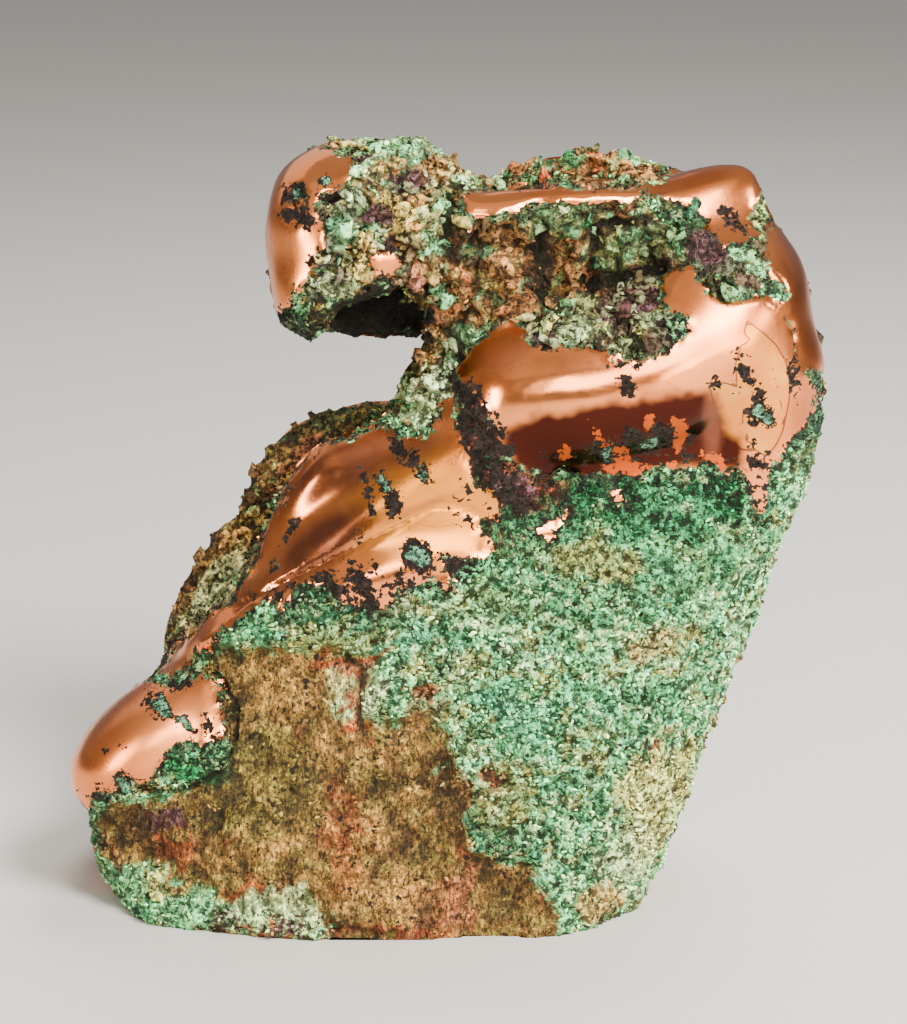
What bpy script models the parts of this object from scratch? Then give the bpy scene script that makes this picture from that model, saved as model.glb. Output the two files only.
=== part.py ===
"""A native copper nugget: one leaning mass of metal with a flat cut base.

A thick ridge crosses the upper front and turns down into a flank on the right. Over it an arm
runs from a horn on the right to a heavy head on the left, and a slanting neck ties the head to
the crest below. Behind the crest a back wall stands up, so that a trough lies between the two.
A foot bulges out at the lower left.

Lengths are in millimetres here and are written to the scene in metres. +X is to the nugget's
right, +Y is to its back and +Z is up. The origin is under the middle of its box, on the base.
"""

import math

import bmesh
import bpy
from mathutils import Euler, Matrix, Vector, noise

MM = 0.001
NAME = "copper_nugget"

# The skin's finest detail, how often it is smoothed, and how many triangles it is thinned to
# before its lowest part is cut away.
VOXEL = 1.8
FILLET_PASSES = 8
TRIANGLES = 10500

# The block that cuts the base flat, and the balls that limbs and lumps are made of.
FLOOR_BLOCK = 400
BALL_STEP = 2
BALL_DETAIL = 3

# The leaning main mass as level sections: height, left, right, front, back.
BODY_SECTIONS = (
    (-10, -79, 47, -40, 34),
    (0, -80, 48, -40, 35),
    (15, -81, 54, -38, 37),
    (30, -79, 59, -36, 37),
    (50, -69, 66, -34, 37),
    (70, -57, 73, -31, 37),
    (90, -42, 80, -29, 37),
    (105, -27, 84, -27, 35),
    (120, -4, 85, -24, 30),
    (135, 10, 82, -20, 26),
    (148, 30, 77, -12, 22),
    (159, 42, 70, -5, 14),
)
BODY_CORNER = 3.2
BODY_SIDES = 48

# Limbs are rows of stations: x, y, z and the radius there.
RIDGE = (
    (9, -13, 120, 15), (18, -16, 124, 18), (30, -17, 126, 19.5), (45, -17, 130, 19.5),
    (58, -17, 137, 18),
)
FLANK = ((62, -14, 142, 18), (68, -12, 128, 17.5), (68, -10, 112, 17), (65, -10, 98, 16), (60, -12, 84, 12))
HORN = (
    (42, -11, 161, 8), (52, -9, 163.2, 9), (59.5, -7, 166, 8), (65, -6, 169.8, 4.8),
    (65.8, -6, 158, 8), (65.5, -6, 148, 14.5),
)
THIGH = ((10, -17, 111, 15), (-5, -18, 102, 12), (-18, -19, 94, 9), (-30, -20, 86, 6.5), (-42, -20, 77, 5))
SHIN = (
    (16, -20, 96, 10), (0, -23, 90, 9), (-14, -24, 84, 8), (-28, -24, 78, 7), (-42, -23, 71, 6),
    (-54, -20, 64, 5),
)
CREST = (
    (-6, -12, 111, 9), (-17, -13, 107, 8), (-26, -13, 104, 8), (-32, -13, 98, 7),
    (-36, -13, 91, 6), (-41, -13, 82, 5.5), (-49, -13, 71.5, 5), (-57, -12, 61, 5.5),
)
NECK = ((6, -8, 145, 8), (-2.5, -8, 134, 7), (-4, -8, 126, 7), (-5, -9, 115, 9))
STRIP = (
    (-3, -11, 164, 8), (6, -14, 162.5, 6.5), (18, -14, 164, 6.5), (32, -13, 165, 6.5),
    (44, -12, 164.5, 7),
)
BACK_RIM = (
    (-4, 10, 162, 6.5), (12, 14, 162, 7), (21, 14, 164, 7.5), (32, 14, 165.5, 7.5),
    (44, 13, 163.5, 7.5), (56, 8, 160, 9),
)
BACK_RIDGE = ((10, 33, 112, 7), (30, 32, 104, 11), (50, 30, 99, 12), (66, 24, 90, 10))
BACK_WALL = (
    (16, 30, 102, 9), (-6, 30, 103, 8), (-20, 30, 102, 8), (-31, 30, 98.5, 8), (-38.5, 30, 92, 8),
    (-44, 29, 81.5, 8), (-51, 27, 68.5, 8), (-57.5, 22, 54, 9),
)

# Lumps: centre, radii, turn about Y in degrees, squareness (2 is an ellipsoid, more is boxier).
LUMPS = {
    "shoulder": ((61, -8, 142), (21, 24, 21), 0, 2.2),
    "head left": ((-22.5, -4, 156.5), (19.5, 20, 22.5), 0, 2.2),
    "head right": ((-10, -4, 164), (13, 18, 14.5), 0, 2.6),
    "chin": ((-31, -10, 145), (10, 13, 11), 0, 2.6),
    "head back wall": ((-15, 9, 145), (19, 6, 15), 0, 3),
    "arm plate": ((24, 0, 158), (34, 14, 6), 0, 2),
    "web left": ((9, -4, 150), (17, 13.5, 15), 0, 2.6),
    "web right": ((38, -3, 155), (22, 13, 11), 0, 2.6),
    "knob left": ((30, -12, 158.5), (6, 6, 5), 0, 2),
    "knob middle": ((43, -12, 157.5), (6.5, 6, 5), 0, 2),
    "knob right": ((54, -17, 157), (6, 6, 5), 0, 2),
    "crust": ((14, -26, 66), (38, 8, 24), -22, 3.5),
    "crust end": ((28, -26, 44), (22, 9.5, 24), 16, 3),
    "back ledge": ((-2, 34, 64), (32, 7, 13), -28, 2.8),
    "foot": ((-69, -14, 39.5), (23.5, 17, 12.5), -37, 2.2),
    "heel": ((-76, -4, 17), (9.5, 22, 17), 0, 2.4),
    "back slope": ((-28, 20, 52), (40, 16, 46), 24, 2.4),
}

# What is hollowed out of the metal, in the same two forms.
TROUGH = (
    (26, 10, 124, 10), (10, 9, 115, 13), (-10, 9, 106, 15), (-26, 9, 95, 15), (-40, 8, 79, 13),
    (-54, 6, 64, 9),
)
CREVICES = (
    ((28, -17, 147.5, 2.5), (38, -15, 148.5, 3), (50, -18, 151, 3)),
    ((22, -18, 158, 2.5), (23, -17, 152, 3), (23, -18, 147, 2.5)),
)
HOLLOWS = {
    "head cavity": ((-15, -10, 138), (11.5, 13, 11.5), 0, 2.4),
    "head pit": ((-37, -20, 166), (3.5, 4, 3.5), 0, 2),
    "back hollow": ((24, 42, 66), (20, 7, 22), -20, 2.2),
    "low hollow": ((-40, 42, 34), (20, 7, 13), 10, 2.2),
}

# Polished metal stays nearly smooth, and the rest is lumpy from a short way off the polish.
POLISHED_LIMBS = (RIDGE, FLANK, HORN, THIGH, CREST, STRIP)
POLISHED_LUMPS = ("shoulder", "foot")
POLISH_MARGIN, POLISH_FADE = 0.5, 3
POLISHED_HEIGHT = 0.25
LUMP_HEIGHT, LUMP_WIDTH = 2.2, 24
LUMP_FADE, LUMP_SHRINK, LUMP_SIZES = 1.0, 2.2, 3

# The back swells and sinks more broadly.
BACK_HEIGHT, BACK_WIDTH = 4, 60

COPPER = (0.55, 0.24, 0.13, 1)
COPPER_ROUGHNESS = 0.45


def ball(bm, centre, radii, turn=0, squareness=2):
    """Adds a ball stretched to three radii, in millimetres, turned about Y and squared up."""
    turned = Euler((0, math.radians(turn), 0)).to_matrix().to_4x4()
    place = Matrix.Translation(Vector(centre) * MM) @ turned
    for vert in bmesh.ops.create_icosphere(bm, subdivisions=BALL_DETAIL, radius=1)["verts"]:
        size = sum(abs(c) ** squareness for c in vert.co) ** (1 / squareness)
        vert.co = place @ Vector(c / size * r * MM for c, r in zip(vert.co, radii))


def limb(bm, stations):
    """Adds a tapering limb: balls set close together along the stations."""
    for a, b in zip(stations, stations[1:]):
        start, end = Vector(a[:3]), Vector(b[:3])
        count = max(1, round((end - start).length / BALL_STEP))
        for i in range(count + 1):
            t = i / count
            radius = a[3] + (b[3] - a[3]) * t
            ball(bm, start.lerp(end, t), (radius,) * 3)


def rounded_ring(bm, height, left, right, front, back):
    """One level section of the body: a rectangle whose corners are rounded as a superellipse."""
    centre_x, centre_y = (left + right) / 2, (front + back) / 2
    ring = []
    for i in range(BODY_SIDES):
        angle = 2 * math.pi * i / BODY_SIDES
        c, s = math.cos(angle), math.sin(angle)
        x = centre_x + (right - left) / 2 * math.copysign(abs(c) ** (2 / BODY_CORNER), c)
        y = centre_y + (back - front) / 2 * math.copysign(abs(s) ** (2 / BODY_CORNER), s)
        ring.append(bm.verts.new((x * MM, y * MM, height * MM)))
    return ring


def body(bm):
    """Adds the main mass, lofted through its level sections and closed at both ends."""
    rings = [rounded_ring(bm, *section) for section in BODY_SECTIONS]
    for low, high in zip(rings, rings[1:]):
        for i in range(BODY_SIDES):
            j = (i + 1) % BODY_SIDES
            bm.faces.new((low[i], low[j], high[j], high[i]))
    bm.faces.new(reversed(rings[0]))
    bm.faces.new(rings[-1])


def mesh_object(name, bm, collection):
    mesh = bpy.data.meshes.new(name)
    bm.to_mesh(mesh)
    bm.free()
    obj = bpy.data.objects.new(name, mesh)
    collection.objects.link(obj)
    return obj


def masses(collection):
    bm = bmesh.new()
    body(bm)
    front = (RIDGE, FLANK, HORN, THIGH, SHIN, CREST, NECK, STRIP)
    back = (BACK_RIM, BACK_RIDGE, BACK_WALL)
    for stations in front + back:
        limb(bm, stations)
    for lump in LUMPS.values():
        ball(bm, *lump)
    return mesh_object(NAME, bm, collection)


def as_cutter(obj):
    obj.hide_render = True
    obj.display_type = "WIRE"
    return obj


def hollows(collection):
    bm = bmesh.new()
    for stations in (TROUGH, *CREVICES):
        limb(bm, stations)
    for hollow in HOLLOWS.values():
        ball(bm, *hollow)
    cutter = mesh_object("hollows", bm, collection)
    skin(cutter)
    return as_cutter(cutter)


def below_floor(collection):
    """A block whose top is the floor, to cut the base flat."""
    bm = bmesh.new()
    middle = Matrix.Translation((0, 0, -FLOOR_BLOCK / 2 * MM))
    bmesh.ops.create_cube(bm, size=FLOOR_BLOCK * MM, matrix=middle)
    return as_cutter(mesh_object("below_floor", bm, collection))


def skin(obj):
    """Makes one closed skin around everything in the object."""
    remesh = obj.modifiers.new("skin", "REMESH")
    remesh.mode = "VOXEL"
    remesh.voxel_size = VOXEL * MM
    remesh.adaptivity = 0


def cut(obj, cutter):
    boolean = obj.modifiers.new("cut", "BOOLEAN")
    boolean.operation = "DIFFERENCE"
    boolean.object = cutter


def soften(obj):
    smooth = obj.modifiers.new("fillets", "SMOOTH")
    smooth.factor = 0.5
    smooth.iterations = FILLET_PASSES


def apply_modifiers(obj):
    graph = bpy.context.evaluated_depsgraph_get()
    obj.data = bpy.data.meshes.new_from_object(obj.evaluated_get(graph))
    obj.modifiers.clear()


def limb_gap(point, stations):
    """How far a point is outside a limb's surface, in millimetres."""
    gaps = []
    for a, b in zip(stations, stations[1:]):
        start, end = Vector(a[:3]), Vector(b[:3])
        along = (point - start).dot(end - start) / (end - start).length_squared
        t = min(1, max(0, along))
        gaps.append((point - start.lerp(end, t)).length - a[3] - (b[3] - a[3]) * t)
    return min(gaps)


def lump_gap(point, centre, radii, turn, _):
    """How far a point is outside a lump's surface, in millimetres, roughly."""
    local = Euler((0, -math.radians(turn), 0)).to_matrix() @ (point - Vector(centre))
    scaled = Vector(c / r for c, r in zip(local, radii))
    return (scaled.length - 1) * min(radii)


def roughen(obj):
    """Raises lumps all over, but hardly any on the polished metal."""
    obj.data.update()
    moves = []
    for vert in obj.data.vertices:
        point = vert.co / MM
        gaps = [limb_gap(point, stations) for stations in POLISHED_LIMBS]
        gaps += [lump_gap(point, *LUMPS[name]) for name in POLISHED_LUMPS]
        rough = min(1, max(0, (min(gaps) - POLISH_MARGIN) / POLISH_FADE))
        height = POLISHED_HEIGHT + (LUMP_HEIGHT - POLISHED_HEIGHT) * rough
        rise = height * noise.fractal(point / LUMP_WIDTH, LUMP_FADE, LUMP_SHRINK, LUMP_SIZES)
        rise += BACK_HEIGHT * max(0, vert.normal.y) * noise.noise(point / BACK_WIDTH)
        moves.append(vert.normal * rise * MM)
    for vert, move in zip(obj.data.vertices, moves):
        vert.co += move


def thin_out(obj):
    """Brings the skin down to its count of triangles."""
    decimate = obj.modifiers.new("thin", "DECIMATE")
    decimate.ratio = TRIANGLES / (2 * len(obj.data.polygons))


def stand_on_origin(obj):
    """Moves the mesh so that the origin is under the middle of its box."""
    xs = [v.co.x for v in obj.data.vertices]
    ys = [v.co.y for v in obj.data.vertices]
    middle = Vector(((min(xs) + max(xs)) / 2, (min(ys) + max(ys)) / 2, 0))
    obj.data.transform(Matrix.Translation(-middle))


def copper():
    material = bpy.data.materials.new("copper")
    material.use_nodes = True
    shader = material.node_tree.nodes["Principled BSDF"]
    shader.inputs["Base Color"].default_value = COPPER
    shader.inputs["Roughness"].default_value = COPPER_ROUGHNESS
    shader.inputs["Metallic"].default_value = 1
    return material


def main():
    for obj in list(bpy.data.objects):
        bpy.data.objects.remove(obj)
    nugget_parts = bpy.data.collections.new("native copper nugget")
    cutters = bpy.data.collections.new("cutters")
    for collection in (nugget_parts, cutters):
        bpy.context.scene.collection.children.link(collection)
    nugget = masses(nugget_parts)
    skin(nugget)
    cut(nugget, hollows(cutters))
    skin(nugget)
    soften(nugget)
    apply_modifiers(nugget)
    roughen(nugget)
    thin_out(nugget)
    cut(nugget, below_floor(cutters))
    apply_modifiers(nugget)
    stand_on_origin(nugget)
    nugget.data.materials.append(copper())


main()
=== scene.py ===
"""Dress the native copper nugget: polished copper, cuprite crust, malachite grains and the stage."""
import math
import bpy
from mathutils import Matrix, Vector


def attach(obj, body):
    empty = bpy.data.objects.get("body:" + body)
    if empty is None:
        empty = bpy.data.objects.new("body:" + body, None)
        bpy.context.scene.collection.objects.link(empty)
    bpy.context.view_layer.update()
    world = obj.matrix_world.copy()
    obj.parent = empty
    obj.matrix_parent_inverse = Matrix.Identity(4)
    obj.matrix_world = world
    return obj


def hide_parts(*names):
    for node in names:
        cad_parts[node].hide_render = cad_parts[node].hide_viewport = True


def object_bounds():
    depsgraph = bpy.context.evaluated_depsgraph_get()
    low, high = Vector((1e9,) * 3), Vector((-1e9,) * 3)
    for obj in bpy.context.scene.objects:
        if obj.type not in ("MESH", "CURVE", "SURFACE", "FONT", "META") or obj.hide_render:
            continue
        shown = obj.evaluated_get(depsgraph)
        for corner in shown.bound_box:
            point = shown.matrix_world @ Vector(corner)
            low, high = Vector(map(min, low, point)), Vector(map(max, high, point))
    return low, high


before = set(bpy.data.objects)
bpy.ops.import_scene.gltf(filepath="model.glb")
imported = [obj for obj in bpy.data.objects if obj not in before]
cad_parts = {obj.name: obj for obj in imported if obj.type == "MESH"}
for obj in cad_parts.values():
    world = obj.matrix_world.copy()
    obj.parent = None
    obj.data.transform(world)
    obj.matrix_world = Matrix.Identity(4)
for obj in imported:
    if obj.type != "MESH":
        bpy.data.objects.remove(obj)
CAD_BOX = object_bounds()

from types import SimpleNamespace

import bmesh
import bpy
import numpy as np
from mathutils import Vector, noise
from mathutils.bvhtree import BVHTree
from mathutils.kdtree import KDTree

bl_info = {
    "name": "Native copper nugget",
    "version": (1, 0, 0),
    "blender": (4, 5, 0),
    "location": "View3D > Sidebar > Nugget",
    "description": "Dresses the native copper nugget with its metal, crusts and grains",
    "category": "Object",
}

MM = 0.001
NODE = "copper_nugget"
BODY = "root"

# The viewing direction from which the patches of crust are laid out, as the camera sees them.
FRAME_WIDTH, FRAME_HEIGHT = 907, 1024
VIEW_TARGET = Vector((3.3, -1.1, 90.7)) * MM
VIEW_ELEVATION = math.radians(17.0)
VIEW_DISTANCE = 650.0 * MM
VIEW_FOCAL = 2795.0
VIEW_SENSOR = 36.0
PX_PER_MM = 4.3

# Outlines of the bare polished metal, in frame pixels.
BARE = {
    "head cap": (
        (313, 140), (330, 148), (352, 157), (354, 166), (347, 178), (344, 187), (334, 192),
        (318, 195), (313, 206), (316, 217), (325, 228), (328, 239), (320, 252), (312, 262),
        (316, 275), (303, 285), (292, 294), (289, 303), (281, 309), (272, 317), (245, 300),
        (240, 240), (245, 200), (265, 165), (290, 140),
    ),
    "head spot": ((372, 258), (385, 252), (398, 256), (402, 270), (392, 278), (378, 274), (370, 270)),
    "arm strip": (
        (463, 190), (491, 187), (542, 185), (593, 189), (634, 186), (648, 184), (640, 199),
        (628, 201), (593, 202), (547, 201), (527, 203), (514, 214), (500, 213), (487, 216),
        (472, 223), (465, 210),
    ),
    "horn": (
        (641, 192), (662, 178), (682, 165), (715, 150), (750, 148), (762, 168), (757, 200),
        (752, 217), (757, 232), (742, 243), (722, 241), (709, 231), (706, 222), (700, 211),
        (686, 204), (670, 203), (664, 194), (652, 196),
    ),
    "right strip": (
        (768, 222), (790, 225), (812, 262), (825, 300), (832, 340), (834, 372), (800, 372),
        (792, 350), (800, 330), (786, 322), (775, 318), (772, 306), (783, 304), (790, 296),
        (783, 283), (775, 270), (768, 255), (766, 240),
    ),
    "ridge": (
        (447, 385), (455, 368), (473, 343), (500, 325), (524, 323), (527, 345), (550, 349),
        (573, 346), (598, 348), (618, 360), (640, 362), (664, 354), (690, 331), (688, 316),
        (668, 312), (662, 290), (657, 273), (677, 267), (690, 264), (697, 278), (708, 291),
        (723, 303), (746, 299), (770, 295), (779, 313), (790, 322), (800, 345), (806, 372),
        (820, 392), (814, 413), (802, 431), (786, 443), (777, 462), (769, 486), (768, 502),
        (761, 525), (755, 502), (748, 485), (742, 470), (733, 462), (726, 478), (716, 466),
        (700, 461), (683, 468), (663, 468), (642, 472), (608, 478), (587, 476), (560, 470),
        (546, 478), (522, 468), (506, 452), (493, 430), (480, 404), (468, 386), (458, 378),
        (453, 382),
    ),
    "thigh": (
        (225, 612), (240, 590), (256, 560), (262, 535), (275, 512), (285, 492), (292, 472),
        (302, 458), (316, 446), (338, 441), (358, 433), (380, 423), (396, 436), (420, 438),
        (436, 432), (440, 405), (452, 392), (456, 420), (462, 445), (466, 458), (472, 483),
        (483, 486), (495, 494), (500, 505), (494, 518), (476, 520), (479, 530), (493, 541),
        (491, 552), (482, 557), (462, 558), (445, 557), (450, 575), (451, 592), (443, 590),
        (432, 577), (428, 578), (416, 588), (405, 594), (397, 584), (390, 598), (386, 610),
        (377, 608), (372, 600), (355, 607), (345, 605), (337, 604), (331, 582), (324, 582),
        (312, 584), (296, 582), (290, 598), (279, 609), (272, 596), (252, 605), (232, 617),
    ),
    "crest line": (
        (232, 598), (242, 612), (215, 634), (190, 657), (172, 675), (158, 670), (175, 648),
        (200, 622),
    ),
    "foot": (
        (60, 800), (58, 765), (70, 730), (92, 700), (120, 683), (147, 679), (165, 686),
        (180, 680), (196, 676), (209, 678), (217, 688), (214, 700), (222, 715), (223, 733),
        (218, 743), (205, 745), (190, 741), (179, 743), (170, 751), (156, 767), (147, 784),
        (139, 787), (131, 778), (122, 782), (116, 788), (104, 797), (95, 793), (90, 800),
        (86, 812), (76, 812),
    ),
    "sliver left": ((538, 529), (548, 519), (560, 514), (569, 512), (566, 522), (556, 530), (545, 535)),
    "sliver right": ((608, 488), (612, 487), (627, 503), (622, 505)),
}

# Strokes of dark crust over the bare metal: first point, last point, half width, in frame pixels.
DARK = {
    "head ring": ((297, 192), (297, 193), 9),
    "head ring side": ((284, 186), (285, 200), 3),
    "head blob left": ((284, 213), (300, 217), 7),
    "head blob right": ((300, 212), (308, 222), 6),
    "head spot": ((326, 181), (326, 182), 6),
    "head spot tail": ((322, 195), (333, 197), 5),
    "horn speckle upper": ((722, 210), (736, 214), 4),
    "horn speckle lower": ((730, 222), (744, 228), 4),
    "ridge cluster": ((623, 380), (628, 392), 7),
    "ridge specks": ((610, 366), (640, 364), 2.5),
    "finger upper": ((672, 318), (684, 320), 3.5),
    "finger lower": ((672, 334), (685, 332), 3),
    "finger root": ((662, 322), (668, 348), 6),
    "underside blob": ((661, 430), (668, 438), 8),
    "underside blob low": ((645, 447), (655, 443), 7),
    "underside spot left": ((606, 452), (608, 460), 7),
    "underside spot mid": ((628, 434), (634, 436), 6),
    "underside smear": ((590, 448), (640, 440), 3),
    "scratch crust": ((690, 440), (684, 456), 3),
    "belly crust top": ((736, 352), (741, 366), 4),
    "belly crust top low": ((742, 368), (751, 382), 5),
    "belly crust mid": ((760, 394), (760, 404), 6),
    "belly crust main": ((760, 410), (768, 420), 9),
    "belly crust left": ((750, 413), (756, 426), 4),
    "belly fleck": ((712, 380), (718, 388), 3.5),
    "belly edge": ((792, 365), (796, 384), 4),
    "belly foot": ((752, 462), (764, 468), 5),
    "belly tongue": ((748, 486), (750, 494), 3),
    "hip band top": ((448, 376), (462, 392), 5),
    "hip band upper": ((462, 393), (476, 420), 7),
    "hip band middle": ((476, 424), (488, 452), 8),
    "hip band arm": ((490, 436), (502, 452), 4),
    "hip band bud": ((462, 418), (466, 440), 4),
    "hip band lower": ((488, 460), (506, 482), 9),
    "hip band hook": ((476, 470), (484, 484), 4),
    "hip band foot": ((508, 490), (522, 508), 9),
    "thigh blob upper": ((394, 444), (400, 450), 7),
    "thigh blob tail": ((402, 455), (404, 462), 3),
    "thigh blob right": ((419, 466), (424, 478), 6.5),
    "thigh blob bridge": ((412, 452), (415, 462), 4),
    "thigh main upper": ((381, 478), (388, 490), 8),
    "thigh main lower": ((391, 496), (394, 510), 9),
    "thigh fleck upper": ((363, 470), (364, 482), 2.5),
    "thigh fleck middle": ((366, 488), (369, 496), 3),
    "thigh fleck lower": ((370, 505), (372, 512), 2.5),
    "thigh slash": ((297, 518), (284, 540), 3.5),
    "thigh fleck left": ((273, 562), (276, 570), 3),
    "thigh pinhead": ((356, 537), (357, 539), 3),
    "thigh round": ((414, 552), (422, 560), 16),
    "thigh small": ((374, 561), (376, 565), 4),
    "thigh lower specks": ((346, 558), (358, 566), 2),
    "thigh lower patch": ((352, 572), (368, 592), 7),
    "thigh lower foot": ((366, 592), (372, 606), 7),
    "thigh left patch": ((330, 580), (337, 598), 6),
    "thigh left arm": ((316, 577), (330, 576), 4),
    "thigh right fleck": ((397, 572), (400, 578), 4),
    "thigh right hook": ((404, 585), (411, 588), 4),
    "thigh corner": ((452, 562), (478, 568), 6),
    "foot crust top": ((172, 685), (188, 683), 5),
    "foot crust": ((151, 696), (156, 708), 7),
    "foot crust right": ((160, 698), (166, 714), 6),
    "foot highlight crust": ((180, 722), (192, 727), 4),
    "foot fleck": ((102, 747), (103, 750), 3),
    "foot speck": ((124, 747), (125, 748), 2),
    "foot toe crust": ((121, 780), (128, 790), 7),
    "foot toe left": ((96, 796), (106, 800), 5),
    "foot smear": ((205, 730), (216, 742), 3),
}
# Strokes above that carry green malachite in their middle.
GREEN_HEARTED = (
    "thigh main upper", "thigh round", "foot crust", "foot crust right", "foot highlight crust",
    "head ring", "head spot", "foot toe crust", "thigh blob right", "belly crust main",
    "underside blob low", "underside spot left",
)

# Areas of crust of one kind: colour name and outline in frame pixels.
AREAS = {
    "brown face": ("brown", (
        (190, 640), (240, 652), (300, 648), (350, 650), (390, 660), (363, 688), (361, 716),
        (390, 724), (430, 716), (452, 736), (450, 775), (464, 808), (464, 848), (484, 862),
        (532, 862), (542, 888), (558, 915), (562, 950), (330, 960), (325, 915), (250, 908),
        (190, 893), (140, 866), (108, 858), (92, 815), (130, 800), (165, 795), (225, 770), (232, 740),
        (228, 700), (205, 672),
    )),
    "head rough": ("sage", (
        (325, 130), (425, 130), (460, 165), (470, 200), (455, 330), (415, 300), (385, 290),
        (340, 290), (325, 300), (300, 300), (312, 270), (322, 230), (316, 200), (345, 185),
        (352, 165),
    )),
    "recess": ("clay", (
        (448, 225), (500, 215), (530, 205), (640, 200), (655, 215), (700, 240), (690, 262),
        (660, 272), (560, 308), (520, 322), (470, 335), (440, 330), (425, 300), (440, 260),
    )),
    "arm rim": ("tan", (
        (436, 150), (470, 172), (500, 160), (560, 148), (620, 150), (668, 166), (640, 190),
        (560, 187), (470, 190),
    )),
    "back wall": ("brown", (
        (165, 650), (168, 590), (195, 525), (225, 475), (285, 415), (345, 385), (398, 385),
        (400, 400), (340, 440), (290, 475), (262, 540), (232, 592), (192, 652),
    )),
    "under ridge": ("emerald", (
        (540, 478), (600, 478), (680, 470), (740, 470), (752, 500), (742, 535), (650, 545),
        (600, 525), (552, 515),
    )),
    "neck": ("olive", ((415, 320), (450, 325), (475, 345), (450, 372), (440, 400), (410, 420), (405, 385))),
    "ledge patch": ("sage", (
        (522, 322), (560, 310), (600, 292), (640, 278), (658, 272), (664, 300), (672, 318),
        (664, 352), (640, 362), (618, 362), (596, 350), (550, 350), (527, 346),
    )),
    "shoulder crust": ("sage", (
        (664, 194), (700, 212), (712, 240), (745, 244), (760, 232), (768, 250), (785, 290),
        (772, 300), (745, 300), (722, 304), (700, 284), (688, 262), (664, 262), (690, 246),
        (668, 226),
    )),
    # The hollow under the head is painted near black: painted shadow.
    "cavity": ("soot_and_shade", (
        (331, 294), (345, 286), (372, 284), (392, 286), (404, 296), (420, 301), (442, 304),
        (436, 316), (426, 330), (416, 352), (345, 352), (331, 340),
    )),
    "hip band": ("plum", (
        (450, 372), (472, 385), (495, 425), (522, 462), (548, 478), (575, 500), (545, 540),
        (490, 560), (476, 520), (500, 505), (470, 478), (458, 425),
    )),
}

# Crust of mixed minerals: for each area, the colours of its ground with their shares, the
# colours of its flecks with theirs, and how far both take over from the area's own colour.
BLENDS = {
    "face": ((("mint", 34), ("sea", 26), ("teal", 14), ("olive", 10), ("emerald", 10), ("sage", 6)),
             (("pale", 34), ("mint", 24), ("teal", 12), ("olive", 12), ("soot_and_shade", 10), ("emerald", 8)), 0.85),
    "under ridge": ((("emerald", 66), ("soot_and_shade", 28), ("slate", 6)),
                    (("jade", 26), ("sea", 20), ("emerald", 30), ("pale", 6), ("soot_and_shade", 18)), 0.9),
    "brown face": ((("brown", 28), ("ochre", 24), ("olive", 34), ("rust", 6), ("umber", 8)),
                   (("ochre", 28), ("straw", 16), ("brown", 24), ("olive", 26), ("rust", 6)), 0.5),
    "head rough": ((("sage", 24), ("tan", 24), ("mint", 16), ("straw", 16), ("slate", 12), ("clay", 8)),
                   (("mint", 22), ("pale", 20), ("straw", 18), ("plum", 12), ("tan", 14), ("soot_and_shade", 14)),
                   0.95),
    "recess": ((("clay", 44), ("tan", 30), ("umber", 10), ("rust", 8), ("sea", 8)),
               (("tan", 32), ("straw", 18), ("clay", 22), ("soot_and_shade", 10), ("mint", 12), ("umber", 6)), 0.9),
    "arm rim": ((("tan", 34), ("clay", 26), ("sage", 14), ("umber", 14), ("mint", 12)),
                (("mint", 24), ("jade", 16), ("tan", 24), ("soot_and_shade", 18), ("rust", 18)), 0.9),
    "back wall": ((("brown", 32), ("olive", 22), ("umber", 22), ("ochre", 14), ("emerald", 10)),
                  (("ochre", 26), ("sage", 18), ("umber", 26), ("tan", 18), ("soot_and_shade", 12)), 0.9),
    "neck": ((("tan", 28), ("clay", 20), ("sage", 18), ("mint", 18), ("umber", 16)),
             (("pale", 22), ("mint", 20), ("soot_and_shade", 24), ("emerald", 14), ("tan", 20)), 0.9),
    "ledge patch": ((("sage", 44), ("slate", 20), ("plum", 22), ("mint", 14)),
                    (("pale", 34), ("sage", 20), ("plum", 22), ("soot_and_shade", 14), ("straw", 10)), 0.9),
    "shoulder crust": ((("sage", 26), ("plum", 26), ("mint", 20), ("slate", 16), ("soot_and_shade", 12)),
                       (("mint", 26), ("pale", 14), ("plum", 26), ("soot_and_shade", 18), ("emerald", 16)), 0.9),
    "hip band": ((("umber", 36), ("soot_and_shade", 34), ("plum", 20), ("rust", 10)),
                 (("soot_and_shade", 30), ("emerald", 26), ("rust", 26), ("clay", 18)), 0.9),
    # Painted shadow: the hollow under the head in near black.
    "cavity": ((("soot_and_shade", 100),), (("soot_and_shade", 94), ("umber", 6)), 1.0),
    "rest": ((("sea", 26), ("mint", 32), ("brown", 12), ("emerald", 10), ("ochre", 6), ("sage", 14)),
             (("pale", 28), ("mint", 28), ("olive", 12), ("soot_and_shade", 10), ("emerald", 12), ("ochre", 10)),
             0.85),
}

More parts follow.
